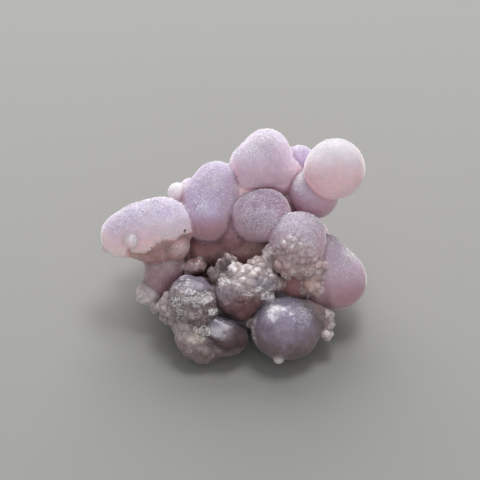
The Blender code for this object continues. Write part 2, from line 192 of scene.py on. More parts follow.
# Crusts: lobe, ball, facing on the drawing plane, spread in degrees, lumps, smallest and
# largest lump radius
FRONT_CRUSTS = (
    ("mid_right", 0, (-0.1, -0.75, 0.65), 45, 17, 0.36, 0.58),
    ("skirt", 0, (0.0, -0.2, 1.0), 72, 15, 0.4, 0.68),
    ("skirt", 1, (0.5, 0.1, 1.0), 70, 10, 0.34, 0.6),
    ("skirt_leg", 0, (0.4, 0.0, 1.0), 75, 7, 0.32, 0.52),
    ("skirt_leg", 1, (0.2, -0.3, 1.0), 85, 10, 0.32, 0.54),
    ("skirt_left", 0, (-0.4, 0.1, 1.0), 75, 8, 0.32, 0.5),
    ("heart_cap", 0, (0.1, 0.3, 1.0), 60, 8, 0.36, 0.58),
    ("heart_cap", 1, (-0.2, 0.7, 0.8), 52, 8, 0.38, 0.62),
    ("heart_cap", 2, (0.4, 0.9, 0.6), 55, 6, 0.34, 0.52),
    ("heart_ridge", 0, (0.0, 0.6, 0.8), 70, 7, 0.3, 0.44),
    ("heart_bead_a", 0, (-0.2, 0.3, 1.0), 75, 6, 0.3, 0.42),
    ("heart_bead_b", 0, (-0.3, 0.0, 1.0), 75, 5, 0.26, 0.36),
    ("heart_side", 0, (0.0, 0.2, 1.0), 60, 5, 0.28, 0.4),
    ("heart_clump", 0, (-0.3, 0.1, 1.0), 70, 6, 0.28, 0.42),
    ("bead_left", 0, (-0.2, 0.2, 1.0), 80, 6, 0.28, 0.38),
    ("bead_left", 1, (0.2, 0.3, 1.0), 80, 6, 0.26, 0.36),
    ("sugar", 0, (0.75, -0.45, 0.5), 26, 5, 0.3, 0.44),
    ("sugar", 0, (-0.85, -0.25, 0.5), 28, 6, 0.28, 0.4),
    ("sugar_low", 0, (-0.7, -0.1, 0.7), 34, 6, 0.28, 0.42),
    ("sugar_side", 0, (-0.5, -0.2, 1.0), 75, 9, 0.28, 0.42),
    ("foot_left", 0, (0.6, 0.8, 0.6), 30, 6, 0.28, 0.42),
    ("foot_side", 0, (-0.5, -0.1, 0.9), 75, 7, 0.28, 0.42),
    ("foot_left", 0, (-0.9, 0.2, 0.4), 28, 5, 0.28, 0.4),
    ("foot_right", 0, (-1.0, 0.12, 0.3), 12, 3, 0.4, 0.48),
    ("foot_right", 0, (-1.0, -0.26, 0.3), 7, 2, 0.3, 0.36),
    ("ear", 1, (1.0, 0.4, 0.3), 45, 5, 0.26, 0.36),
    ("ear", 2, (1.0, -0.2, 0.3), 40, 3, 0.26, 0.34),
    ("ear_low", 0, (0.7, -0.4, 0.6), 65, 5, 0.28, 0.4),
    ("stalk_foot", 0, (-0.8, -0.6, 0.4), 26, 4, 0.34, 0.48),
    ("stalk_bead", 0, (-0.5, -0.3, 0.8), 60, 4, 0.28, 0.38),
    ("stalk_tail", 0, (-0.3, -0.3, 0.9), 70, 7, 0.28, 0.42),
)

# Crusts of the back: the same, with the facing in upright axes
BACK_CRUSTS = (
    ("back_low_left", 0, (-0.3, 0.8, -0.3), 55, 12, 0.36, 0.6),
    ("root_right", 0, (0.5, 0.7, 0.0), 65, 11, 0.36, 0.56),
    ("root_left", 0, (-0.2, 0.9, 0.1), 60, 9, 0.36, 0.54),
    ("root_back", 0, (0.2, 0.9, 0.1), 60, 9, 0.36, 0.54),
    ("back_middle", 0, (-0.4, 0.6, -0.6), 32, 8, 0.36, 0.54),
    ("back_side", 0, (0.8, 0.2, -0.3), 50, 8, 0.34, 0.52),
)

# Small lumps between the larger ones, laid on the front in the same way
FINE_CRUSTS = (
    ("mid_right", 0, (-0.1, -0.5, 0.85), 38, 34, 0.2, 0.34),
    ("skirt", 0, (-0.1, 0.2, 1.0), 60, 14, 0.2, 0.32),
    ("heart_cap", 1, (-0.1, 0.5, 0.85), 60, 14, 0.2, 0.3),
    ("heart_cap", 2, (0.2, 0.4, 0.9), 55, 8, 0.18, 0.28),
    ("sugar", 0, (0.55, -0.25, 0.8), 22, 8, 0.16, 0.26),
    ("sugar", 0, (-0.55, -0.2, 0.8), 26, 9, 0.16, 0.26),
)

# Pairs of lobes that run into each other with no crease
JOINED_LOBES = (
    ("crown", "crown_web"),
    ("mid_right", "skirt"),
    ("heart", "heart_cap"),
    ("heart", "heart_clump"),
    ("sugar", "sugar_low"),
)

# Patches laid on the front: across and up of the middle, half width, half height, the lobe
# that takes it or "" for all, colour, strength of the colour, frost, sugar. Most are the stone's
# own white streaks, clumps, stains, tones and frost; the rows marked below paint highlights,
# glints, sheen or shade.
PATCHES = (
    # Foot_right: a soft white patch, partly its own white streaks and partly painted wet sheen, then
    # a small painted glint.
    (4.3, -7.4, 1.1, 1.1, "foot_right", "milk", 0.25, 0.0, 0.45),
    (5.5, -7.0, 0.3, 0.24, "foot_right", "snow", 1.0, 0.0, 0.0),
    (7.1, -0.6, 3.0, 1.5, "mid_right", "milk", 0.35, 0.0, 0.3),
    (-0.5, -4.9, 1.9, 1.7, "heart", "heather", 0.3, 0.0, 0.25),
    (2.3, -0.5, 2.0, 1.3, "hollow_wall", "clay", 0.7, 0.0, 0.0),
    # Painted shade: darker at the bottom of foot_right, near the floor.
    (5.7, -11.6, 2.8, 1.6, "foot_right", "umber", 0.3, 0.0, 0.0),
    (-9.6, -4.9, 1.8, 1.8, "stalk_foot", "milk", 0.3, 0.0, 0.2),
    # Foot_right's white streaks, partly its own and partly painted wet sheen; the fourth is a
    # painted glint among crystals.
    (4.65, -6.85, 0.6, 0.32, "foot_right", "snow", 0.5, 0.0, 0.6),
    (4.1, -7.5, 0.42, 0.75, "foot_right", "snow", 0.7, 0.0, 0.6),
    (4.45, -8.1, 0.3, 0.4, "foot_right", "snow", 0.45, 0.0, 0.7),
    (6.33, -7.6, 0.2, 0.2, "foot_right", "snow", 0.8, 0.0, 1.0),
    (-4.5, -6.05, 2.2, 0.38, "", "snow", 0.4, 0.0, 0.97),
    (-3.05, -5.8, 0.6, 0.7, "", "snow", 0.5, 0.0, 0.97),
    (-5.0, -5.1, 1.0, 0.22, "sugar", "snow", 0.25, 0.0, 0.95),
    (-3.8, -4.6, 1.4, 1.2, "sugar", "umber", 0.45, 0.0, 0.0),
    (-4.1, -7.2, 2.4, 1.6, "sugar_low", "umber", 0.5, 0.0, 0.3),
    (-5.8, -4.7, 1.3, 1.2, "sugar", "sugar", 0.05, 0.0, 0.65),
    # Painted shadow just below the loaf's broken edge.
    (-7.9, 0.1, 1.1, 0.7, "", "dusk", 0.35, 0.0, 0.0),
    (-9.0, 2.3, 5.2, 1.6, "loaf", "milk", 0.35, 0.3, 0.0),
    (-5.5, 0.2, 1.5, 1.5, "loaf_heel", "peach", 0.45, 0.0, 0.0),
    (-6.2, -6.9, 0.7, 0.9, "", "snow", 0.1, 0.0, 0.85),
    (-6.5, -8.1, 0.55, 0.45, "", "snow", 0.1, 0.0, 0.85),
    (-2.3, -7.4, 0.5, 0.4, "", "snow", 0.4, 0.0, 0.9),
    (-4.9, -7.7, 1.2, 0.5, "", "sugar", 0.05, 0.0, 0.5),
    # Painted highlight: the soft white gleam on the top of foot_mid.
    (-1.5, -9.6, 1.0, 0.8, "foot_mid", "milk", 0.3, 0.0, 0.2),
    (-1.5, -9.6, 1.1, 0.75, "foot_mid", "snow", 0.42, 0.0, 0.2),
    # Painted shade: darker on the lower right of foot_mid, near the floor.
    (0.3, -10.4, 1.7, 2.0, "foot_mid", "umber", 0.8, 0.0, 0.0),
    (-4.3, -9.8, 2.8, 2.2, "foot_left", "dusk", 0.55, 0.0, 0.2),
    (-6.9, -7.4, 1.3, 2.4, "", "dusk", 0.4, 0.0, 0.3),
    (-1.4, -2.2, 1.7, 1.4, "", "umber", 0.9, 0.0, 0.1),
    (-8.2, -3.0, 2.4, 2.2, "stalk", "smoke", 0.3, 0.0, 0.1),
    (-4.3, -2.3, 2.2, 1.8, "bead_left", "wine", 0.75, 0.0, 0.1),
    (-0.4, -1.7, 1.5, 1.3, "heart_bead_a", "umber", 0.55, 0.0, 0.0),
    (5.2, 7.6, 1.8, 2.4, "crown", "blush", 0.3, 0.0, 0.0),
    (1.2, -3.2, 2.6, 1.6, "heart_cap", "sugar", 0.4, 0.0, 0.0),
    (-5.2, -9.4, 1.7, 2.0, "foot_left", "sugar", 0.3, 0.0, 0.0),
    # Painted bluish sheen over the middle of foot_right, on its own blue-grey tone.
    (5.6, -9.4, 3.2, 2.4, "foot_right", "lavender", 0.28, 0.0, 0.0),
    (6.9, -1.7, 2.3, 2.0, "", "clay", 0.5, 0.0, 0.0),
    (8.6, -3.9, 1.8, 2.2, "skirt_leg", "clay", 0.75, 0.0, 0.0),
    (8.8, -4.3, 1.3, 1.4, "skirt_leg", "straw", 0.18, 0.0, 0.3),
    # Painted shade in the hollow of the skirt crust.
    (6.2, -4.0, 1.8, 1.4, "skirt_wall", "wine", 0.6, 0.0, 0.0),
    (7.5, 7.3, 0.8, 1.5, "pale_stalk", "milk", 0.45, 0.8, 0.0),
    (3.3, -4.0, 1.5, 1.1, "heart_cap", "slate", 0.6, 0.0, 0.3),
    (-3.7, -4.5, 1.0, 0.8, "sugar", "slate", 0.5, 0.0, 0.0),
    (-4.2, -10.4, 0.75, 0.55, "foot_left", "straw", 0.4, 0.0, 0.5),
    (-3.4, -9.5, 0.9, 0.6, "", "straw", 0.35, 0.0, 0.9),
    (-0.2, -2.3, 0.65, 0.5, "heart_cap", "snow", 0.55, 0.0, 0.8),
    (-1.1, -3.9, 0.6, 0.45, "", "snow", 0.55, 0.0, 0.8),
    (3.5, -5.7, 0.55, 0.5, "", "snow", 0.55, 0.0, 0.8),
    (2.6, -4.8, 0.75, 0.22, "", "snow", 0.35, 0.0, 0.9),
    (1.6, -5.4, 0.9, 0.16, "heart", "snow", 0.35, 0.0, 0.9),
    (1.4, -4.2, 2.8, 1.5, "heart", "sugar", 0.4, 0.0, 0.2),
    # Painted shade on the lower side of the heart.
    (1.2, -6.9, 2.8, 1.6, "heart", "wine", 0.55, 0.0, 0.0),
    (3.4, -4.4, 1.2, 0.9, "heart", "slate", 0.4, 0.0, 0.2),
    (3.8, -0.8, 0.6, 0.5, "", "snow", 0.45, 0.0, 0.7),
    (-11.5, 0.7, 1.1, 1.0, "loaf_wart", "opal", 0.6, 0.0, 0.0),
    (-11.25, 0.6, 0.62, 0.58, "loaf_wart", "snow", 0.6, 0.0, 0.5),
    (13.3, -0.6, 1.2, 1.2, "plum", "milk", 0.3, 1.0, 0.3),
    (7.3, 1.7, 2.3, 1.4, "mid_right", "lilac", 0.15, 0.8, 0.0),
    (2.8, 3.0, 2.4, 1.7, "lilac", "lilac", 0.55, 0.8, 0.0),
    (3.2, 11.6, 2.0, 1.6, "crown", "milk", 0.4, 0.8, 0.0),
    (-2.3, 7.4, 1.2, 1.0, "column", "milk", 0.35, 0.8, 0.0),
    (-3.4, 4.6, 0.6, 0.9, "column", "milk", 0.35, 0.8, 0.0),
    (-8.2, 4.3, 2.2, 0.9, "loaf", "heather", 0.25, 0.8, 0.0),
    (7.6, -7.5, 1.7, 1.3, "foot_right", "lilac", 0.1, 0.6, 0.0),
    # Painted shade on the wall in the hollow behind the middle lobe.
    (-0.2, -0.2, 3.0, 1.6, "lilac_wall", "wine", 0.75, 0.0, 0.0),
)

# Finish of each lobe: upper colour, lower colour, frost and gloss from 0 to 1. The upper colour lies
# where the lobe faces up and back towards the light and the lower where it faces away, so the pair
# is partly the lobe's own tones and partly painted light.
COMMON_FINISH = ("lavender", "rosewood", 0.5, 0.0)
LOBE_FINISHES = {
    "root_right": ("mauve", "blush", 0.2, 0.0),
    "pale": ("milk", "pearl", 0.3, 0.0),
    "pale_stalk": ("lilac", "rosewood", 0.4, 0.0),
    "crown": ("lilac", "rose", 0.5, 0.0),
    "crown_web": ("rose", "rosewood", 0.2, 0.0),
    "behind_crown": ("lavender", "lavender", 0.4, 0.0),
    "column": ("lavender", "blush", 0.5, 0.0),
    "pearl": ("opal", "opal", 0.05, 0.2),
    "pearl_back": ("lilac", "milk", 0.2, 0.2),
    "loaf": ("heather", "peach", 0.6, 0.0),
    "loaf_heel": ("lilac", "clay", 0.3, 0.0),
    "loaf_wart": ("opal", "peach", 0.1, 0.0),
    "loaf_nub": ("milk", "peach", 0.2, 0.5),
    "stalk": ("smoke", "blush", 0.1, 0.6),
    "stalk_foot": ("smoke", "sugar", 0.0, 0.6),
    "stalk_bead": ("smoke", "smoke", 0.1, 0.7),
    "stalk_tail": ("smoke", "smoke", 0.1, 0.7),
    # Dusk and umber on the lobes low in front are partly their own smoky tone and partly painted
    # shade of their undersides.
    "bead_left": ("smoke", "dusk", 0.0, 0.6),
    "sugar": ("slate", "dusk", 0.0, 0.6),
    "sugar_low": ("dusk", "dusk", 0.0, 0.6),
    "sugar_side": ("smoke", "smoke", 0.1, 0.6),
    "foot_left": ("smoke", "dusk", 0.0, 0.6),
    "foot_side": ("smoke", "smoke", 0.1, 0.6),
    "foot_mid": ("slate", "umber", 0.1, 0.8),
    "heart": ("smoke", "umber", 0.0, 0.5),
    "heart_bridge": ("dusk", "umber", 0.0, 0.5),
    "heart_cap": ("smoke", "smoke", 0.1, 0.4),
    "heart_ridge": ("smoke", "smoke", 0.1, 0.6),
    "heart_bead_a": ("smoke", "smoke", 0.0, 0.4),
    "heart_bead_b": ("smoke", "smoke", 0.0, 0.4),
    "heart_bead_c": ("smoke", "smoke", 0.0, 0.8),
    "heart_bead_d": ("smoke", "smoke", 0.0, 0.8),
    "heart_clump": ("sugar", "smoke", 0.0, 0.4),
    "heart_nub": ("snow", "sugar", 0.1, 0.4),
    "heart_side": ("smoke", "clay", 0.0, 0.4),
    "mid_right": ("mauve", "rosewood", 0.6, 0.0),
    "skirt": ("clay", "clay", 0.1, 0.3),
    "skirt_leg": ("smoke", "smoke", 0.1, 0.3),
    "skirt_left": ("smoke", "clay", 0.1, 0.3),
    # Painted shade: dark wine on the wall in the hollow of the skirt crust.
    "skirt_wall": ("wine", "wine", 0.0, 0.3),
    "lilac": ("grape", "rosewood", 0.4, 0.0),
    # Painted shade: dark mulberry on the wall behind the middle lobe.
    "lilac_wall": ("mulberry", "mulberry", 0.0, 0.3),
    "plum": ("orchid", "plum", 0.4, 0.0),
    "plum_in": ("orchid", "plum", 0.2, 0.0),
    "foot_right": ("slate", "dusk", 0.1, 0.6),
    "ear": ("dusk", "smoke", 0.0, 0.6),
    "ear_low": ("sugar", "smoke", 0.1, 0.6),
    "toe": ("smoke", "sugar", 0.0, 0.9),
    # Painted shade: dark wine, mulberry and umber on the hollow wall, the neck, the beds and the
    # core deep between the lobes.
    "hollow_wall": ("wine", "wine", 0.0, 0.3),
    "neck": ("mulberry", "mulberry", 0.0, 0.3),
    "bed_left": ("umber", "umber", 0.0, 0.3),
    "bed_mid": ("umber", "umber", 0.0, 0.3),
    "bed_right": ("umber", "umber", 0.0, 0.3),
    "bed_plum": ("umber", "umber", 0.0, 0.3),
    "core": ("wine", "wine", 0.0, 0.0),
}

# How knobbly the surface of the rougher lobes is, from 0 to 1
KNOBBLY_LOBES = {
    "sugar": 0.6, "sugar_low": 0.6, "sugar_side": 0.6, "foot_left": 1.2, "foot_side": 0.8,
    "heart": 0.7, "heart_bridge": 0.5, "stalk_foot": 0.3, "ear": 0.3, "loaf_heel": 0.3,
}

# Up and a little to the back, towards the light. A lobe's upper colour lies where it faces this
# way and its lower colour where it faces away. They are partly the stone's own lilac and pink and
# partly painted light: bluer where light falls and pinker where light shines through. Frost
# gathers on this side too.
SKYWARD = np.array((0.0, 0.35, 0.94))

# The broken edge of the loaf's outer skin, from left to right on the drawing plane
LEDGE_ACROSS = (-11.9, -11.0, -10.1, -9.4, -8.86, -8.3, -8.0, -6.5, -5.8, -4.7)
LEDGE_UP = (-0.35, -0.66, -0.84, -0.38, 0.07, 0.25, 0.72, 0.8, 1.33, 1.5)

# Growth rings on the foot of the column: across and up of their middle, inner and outer radius
RINGS = (-3.05, 2.4, 0.9, 2.9)

# Tiny dark mineral specks: across and up on the drawing plane, radius
SPECKS = (
    (-5.5, 1.7, 0.22),
    (-9.27, -0.2, 0.09),
    (-8.33, -1.46, 0.09),
    (-3.31, 0.15, 0.1),
    (0.45, 0.95, 0.1),
    (2.01, -0.41, 0.1),
    (-5.5, -3.86, 0.1),
    (-0.41, -3.47, 0.09),
    (8.38, -3.13, 0.1),
)


def length(name, description, default, least=0.0):
    """A setting in metres."""
    return FloatProperty(name=name, description=description, default=default, min=least,
                         unit="LENGTH")


def whole(name, description, default, least=0):
    """A setting that is a whole number."""
    return IntProperty(name=name, description=description, default=default, min=least)


def plain(name, description, default):
    """A setting with no unit in Blender."""
    return FloatProperty(name=name, description=description, default=default, min=0.0)


def colour(name, description, *default):
    """A setting that is a colour."""
    return FloatVectorProperty(name=name, description=description, subtype="COLOR",
                               default=default, min=0.0, max=1.0)


class StoneSizes(PropertyGroup):
    """Sizes of the stone's fine surface."""

    skin_grain: length("Skin grain", "Spacing of the fused skin's points", 0.0001, 0.00005)
    skin_triangles: whole("Skin triangles", "Most triangles that the skin keeps", 190000, 10000)
    crease_rounds: whole("Crease rounds", "How often the creases between lobes are smoothed", 16)
    ledge_depth: length("Ledge depth", "How far the loaf's broken outer skin stands out", 0.0005)
    facet_size: length("Sugar facet", "Width of one small face of the crusts", 0.00036, 0.0001)
    facet_height: length("Sugar facet height", "How far the faces step in and out", 0.00004)
    crease_fill: length("Crease fill", "How far the crease of joined lobes is filled", 0.00035)
    knob_size: length("Knob", "Width of one bump on the knobbly lobes", 0.00125, 0.0002)
    knob_height: length("Knob height", "How far the bumps stand out", 0.0005)
    crystal_count: whole("Crystals", "Number of small quartz points on the crusts", 1000)
    crystal_width: length("Crystal width", "Width of the largest quartz point", 0.00024, 0.00005)
    frost_count: whole("Frost grains", "Number of tiny crystals in each of the two coats", 13000)
    frost_width: length("Frost grain width", "Width of the largest frost grain", 0.0002, 0.00002)


class StoneColours(PropertyGroup):
    """Colours of the stone, some of which also paint shade, glow and highlights on it."""

    lilac: colour("Lilac", "Upper side of most lobes", 0.525, 0.46, 0.6)
    lavender: colour("Lavender", "Upper side of the slightly deeper lobes", 0.42, 0.36, 0.53)
    rose: colour("Rose", "Lower side of the crown lobe", 0.7, 0.545, 0.585)
    milk: colour("Milk", "Upper side of the palest lobes", 0.56, 0.54, 0.58)
    snow: colour("Snow", "The white crystal streaks and clumps", 0.87, 0.84, 0.865)
    # Blush in the creases of the frosted lobes is painted shade.
    blush: colour("Blush", "Lower side of the column, and the creases", 0.44, 0.27, 0.31)
    opal: colour("Opal", "The clear whitish beads on the left", 0.56, 0.54, 0.56)
    pearl: colour("Pearl", "Lower side of the palest ball", 0.78, 0.58, 0.6)
    # Peach also paints the glow beside the creases and the highlight on the loaf's lip.
    peach: colour("Peach", "Lower side of the palest lobes, and the lip", 0.93, 0.7, 0.7)
    mauve: colour("Mauve", "Upper side of the darker middle lobes", 0.39, 0.33, 0.43)
    orchid: colour("Orchid", "Upper side of the right-hand lobe", 0.44, 0.35, 0.44)
    heather: colour("Heather", "Upper side of the long lobe on the left", 0.44, 0.38, 0.54)
    rosewood: colour("Rosewood", "Lower side of the middle and back lobes", 0.54, 0.35, 0.41)
    grape: colour("Grape", "The shaded upper side of the middle lobe", 0.23, 0.155, 0.235)
    plum: colour("Plum", "Lower side of the right-hand lobe", 0.43, 0.265, 0.3)
    slate: colour("Slate", "The blue-grey lobes low in front", 0.2, 0.18, 0.25)
    # Dusk is partly the smoky tone of the lobes low in front and partly painted shade; mulberry on
    # the walls behind the front lobes and umber on the undersides close to the floor are painted
    # shade.
    dusk: colour("Dusk", "The dim undersides low in front", 0.195, 0.142, 0.137)
    mulberry: colour("Mulberry", "The smooth walls behind the front lobes", 0.36, 0.19, 0.22)
    umber: colour("Umber", "The darkest undersides, close to the floor", 0.085, 0.047, 0.047)
    smoke: colour("Smoke", "The clear greyish beads and stalks", 0.28, 0.22, 0.21)
    clay: colour("Clay", "The rough brownish pink under the broken skin", 0.46, 0.27, 0.25)
    # Wine in the deep hollows between the lobes is painted shade.
    wine: colour("Wine", "The deep hollows between the lobes", 0.235, 0.098, 0.098)
    sugar: colour("Sugar", "The whitish crusts", 0.63, 0.54, 0.53)
    straw: colour("Straw", "The faint yellow stain low in front", 0.48, 0.4, 0.26)
    speck: colour("Speck", "Tiny dark mineral specks", 0.02, 0.015, 0.018)


class StageSettings(PropertyGroup):
    """Camera, floor and lights."""

    camera_distance: length("Camera distance", "From the stone to the camera", 0.6, 0.1)
    frame_width: length("Frame width", "Width that the picture takes in", 0.05424, 0.01)
    key_power: plain("Key light", "Power of the light behind and above, in watts", 1.7)
    softbox_power: plain("Softbox", "Power of the light overhead, in watts", 0.86)
    fill_power: plain("Fill light", "Power of the light low in front, in watts", 0.48)
    sky_strength: plain("Sky", "Strength of the even light from all round", 0.42)
    floor: colour("Floor", "Colour of the floor", 0.26, 0.26, 0.247)


def axes_of_drawing():
    """Rows are the across, up and near directions of the leaning drawing plane."""
    sine, cosine = math.sin(LEAN), math.cos(LEAN)
    return np.array(((1.0, 0.0, 0.0), (0.0, sine, cosine), (0.0, -cosine, sine)))


def on_drawing(points):
    """Points of the stone's frame as (across, up, near): their dot products with the axes."""
    return (points - DRAWING_ORIGIN) @ axes_of_drawing().T


def off_drawing(drawn):
    """(across, up, near) as points of the stone's frame, the reverse of on_drawing."""
    return np.array(drawn) @ axes_of_drawing() + DRAWING_ORIGIN


def all_balls():
    """Every lobe's balls in the stone's frame: name to an array of rows (x, y, z, radius)."""
    balls = {name: np.array(rows) for name, rows in (FRONT_LOBES | BACK_LOBES).items()}
    for name in FRONT_LOBES:
        balls[name][:, :3] = off_drawing(balls[name][:, :3])
    for name in BACK_LOBES:
        balls[name][:, :2] += DRAWING_ORIGIN[:2]
    return balls


def all_crusts():
    """Every crust as (lobe, ball, facing in the stone's frame, spread, lumps, smallest, largest)."""
    front = [(name, ball, np.array(facing) @ axes_of_drawing(), *rest)
             for name, ball, facing, *rest in FRONT_CRUSTS + FINE_CRUSTS]
    return front + [(name, ball, np.array(facing), *rest)
                    for name, ball, facing, *rest in BACK_CRUSTS]


def smooth(low, high, values):
    """Smooth step: 0 below low, 1 above high, and t t (3 - 2 t) between."""
    share = np.clip((values - low) / (high - low), 0.0, 1.0)
    return share * share * (3.0 - 2.0 * share)


def swell(points):
    """Share by which surface points move away from their ball's centre: a sum of sine waves."""
    total = np.ones(points.shape[:-1])
    for direction, wavelength, share in SWELL_WAVES:
        total += share * np.sin(math.tau * (points @ np.array(direction)) / wavelength)
    return total


def hash_noise(cells, salt):
    """Fixed noise from 0 to 1 for whole-number cells: the broken part of a large sine."""
    mixed_up = cells @ np.array((127.1, 311.7, 74.7)) + salt * 53.3
    return np.modf(np.abs(np.sin(mixed_up) * 43758.5453))[0]


def cloud(points, size):
    """Soft noise from -1 to 1: cell values blended by a smooth step along each axis."""
    scaled = points / size
    cell = np.floor(scaled)
    share = smooth(0.0, 1.0, scaled - cell)
    total = np.zeros(len(points))
    for corner in np.ndindex(2, 2, 2):
        weight = np.prod(np.where(corner, share, 1.0 - share), axis=1)
        total += weight * hash_noise(cell + corner, 1.0)
    return total * 2.0 - 1.0


def cells_around(points, size, salts):
    """For each of the 27 cells at and around every point, the point's offset from the centre
    that noise gives the cell, and the cell's further noise."""
    scaled = points / size
    cell = np.floor(scaled)
    for step in np.ndindex(3, 3, 3):
        there = cell + np.array(step) - 1.0
        noise = np.stack([hash_noise(there, salt) for salt in salts], axis=1)
        yield scaled - there - noise[:, :3], noise[:, 3:]


def facets(points, size):
    """Broken faces from about -1 to 1: around the nearest cell centre a small plane with its
    own height and slope."""
    nearest = np.full(len(points), FAR)
    height = np.zeros(len(points))
    for offset, noise in cells_around(points, size, np.arange(2.0, 9.0)):
        away = np.linalg.norm(offset, axis=1)
        plane = noise[:, 0] - 0.5 + 1.6 * np.sum((noise[:, 1:] - 0.5) * offset, axis=1)
        height = np.where(away < nearest, plane, height)
        nearest = np.minimum(nearest, away)
    return height


def knobs(points, size):
    """Rounded bumps from 0 to 1: a dome 1 - d d around the nearest cell centre."""
    nearest = np.ones(len(points))
    for offset, _ in cells_around(points, size, (11.0, 12.0, 13.0)):
        nearest = np.minimum(nearest, np.linalg.norm(offset, axis=1))
    return 1.0 - nearest * nearest


def unit_ball(rows, columns):
    """Directions of a closed ball over two parameters, the angle down from the top pole and the
    turn around it, with the quads between its rings and the triangles at its poles."""
    down = np.linspace(0.0, math.pi, rows + 1)[1:-1, None]
    turn = np.linspace(0.0, math.tau, columns, endpoint=False)[None, :]
    ring = np.stack([np.sin(down) * np.cos(turn), np.sin(down) * np.sin(turn),
                     np.cos(down) * np.ones_like(turn)], axis=-1).reshape(-1, 3)
    outward = np.vstack(((0.0, 0.0, 1.0), ring, (0.0, 0.0, -1.0)))
    along = np.arange(columns)
    after = (along + 1) % columns
    first = 1 + np.arange(rows - 2)[:, None] * columns
    quads = np.stack((first + along, first + columns + along,
                      first + columns + after, first + after), axis=-1).reshape(-1, 4)
    last = 1 + (rows - 2) * columns
    pole = len(outward) - 1
    top = np.stack((np.zeros_like(along), 1 + along, 1 + after), axis=1)
    bottom = np.stack((np.full_like(along, pole), last + after, last + along), axis=1)
    return outward, quads, np.vstack((top, bottom))


def rounded_hull(balls, rows, columns):
    """Closed hull of balls. Each direction n of the unit ball goes to the ball that reaches
    furthest along it, centre . n + radius, and the point is centre + radius n, moved out by the
    swell."""
    outward, quads, triangles = unit_ball(rows, columns)
    furthest = np.argmax(outward @ balls[:, :3].T + balls[:, 3], axis=1)
    centre = balls[furthest, :3]
    radius = balls[furthest, 3:4]
    points = centre + outward * radius * swell(centre + outward * radius)[:, None]
    return points, quads, triangles


def repeated(points, quads, triangles):
    """Copies of a shape as one, from one block of points for each copy."""
    start = (np.arange(len(points)) * points.shape[1])[:, None, None]
    return (points.reshape(-1, 3), (quads + start).reshape(-1, 4),
            (triangles + start).reshape(-1, 3))


def many_balls(balls, rows, columns):
    """One small closed ball for each row: centre + radius n for every direction n."""
    outward, quads, triangles = unit_ball(rows, columns)
    return repeated(balls[:, None, :3] + outward * balls[:, None, 3:4], quads, triangles)


def spiral(frame_axes, spread, shift, count):
    """Directions in a golden spiral around the last of three axes: the tilt grows with the
    square root of the number, up to the spread in degrees, and the turn with the number."""
    side, other, axis = frame_axes
    step = np.arange(count)
    tilt = (math.radians(spread) * np.sqrt((step + shift) / count))[:, None]
    turn = (GOLDEN_TURN * step)[:, None]
    return axis * np.cos(tilt) + (side * np.cos(turn) + other * np.sin(turn)) * np.sin(tilt)


def crust_lumps(ball, facing, spread, count, smallest, largest):
    """Lumps on a ball in a golden spiral around the facing, standing out of its surface by the
    same share of their radius."""
    axis = facing / np.linalg.norm(facing)
    side = np.array(Vector(axis).orthogonal().normalized())
    outward = spiral((side, np.cross(axis, side), axis), spread, 0.5, count)
    size = smallest + (largest - smallest) * np.modf(GOLDEN_SHARE * np.arange(1, count + 1))[0]
    reach = ball[3] * swell(ball[:3] + outward * ball[3]) - size * (1.0 - LUMP_STANDS_OUT)
    return np.column_stack((ball[:3] + outward * reach[:, None], size)), outward


def buds(lumps, outward, count, draw):
    """Smaller balls on every lump, in a golden spiral around its outward direction that starts
    at a random turn. Their radii are random shares of the lump's."""
    frames = turned_frames(outward, 0.0, draw.uniform(0.0, math.tau, len(lumps)))
    leaning = spiral([axis[:, None] for axis in frames], 70.0, 0.4, count)
    size = lumps[:, 3:4] * draw.uniform(0.25, 0.50, (len(lumps), count))
    reach = lumps[:, 3:4] * draw.uniform(0.60, 0.90, (len(lumps), count))
    centres = lumps[:, None, :3] + leaning * reach[..., None]
    return np.concatenate((centres, size[..., None]), axis=-1).reshape(-1, 4)


def joined(parts):
    """Join parts of (points, quads, triangles) into one, with the numbers moved along."""
    start = np.cumsum([0] + [len(part[0]) for part in parts[:-1]])
    faces = [np.vstack([part[kind] + offset for part, offset in zip(parts, start)])
             for kind in (1, 2)]
    return np.vstack([part[0] for part in parts]), *faces


def linked(name, data):
    """An object at the origin, in the scene's own collection."""
    item = bpy.data.objects.new(name, data)
    bpy.context.scene.collection.objects.link(item)
    return item


def new_piece(name, points, quads, triangles):
    """An object with a mesh of whole arrays, from points in millimetres."""
    mesh = bpy.data.meshes.new(name)
    corners = np.concatenate((quads.ravel(), triangles.ravel())).astype(np.int32)
    totals = np.repeat((4, 3), (len(quads), len(triangles)))
    mesh.vertices.add(len(points))
    mesh.loops.add(len(corners))
    mesh.loops.foreach_set("vertex_index", corners)
    mesh.polygons.add(len(totals))
    mesh.polygons.foreach_set("loop_start", np.cumsum(totals) - totals)
    move_points(mesh, points, calc_edges=True)
    return linked(name, mesh)


def move_points(mesh, points, **update):
    """Put the mesh's points where the rows say, in millimetres."""
    mesh.vertices.foreach_set("co", (points * MM).astype(np.float32).ravel())
    mesh.update(**update)


def fetched(items, field, width=1, kind=np.float32):
    """One field of a mesh's items, as an array or as rows of the width."""
    flat = np.empty(len(items) * width, kind)
    items.foreach_get(field, flat)
    return flat.reshape(-1, width) if width > 1 else flat


def points_of(mesh):
    """The mesh's points in millimetres, as rows."""
    return fetched(mesh.vertices, "co", 3).astype(float) / MM


def normals_of(mesh):
    """The mesh's point normals, as rows."""
    return fetched(mesh.vertex_normals, "vector", 3).astype(float)


def apply_modifiers(piece):
    """Swap the object's mesh for what its modifiers give."""
    depsgraph = bpy.context.evaluated_depsgraph_get()
    depsgraph.update()
    piece.data = bpy.data.meshes.new_from_object(piece.evaluated_get(depsgraph))
    piece.modifiers.clear()


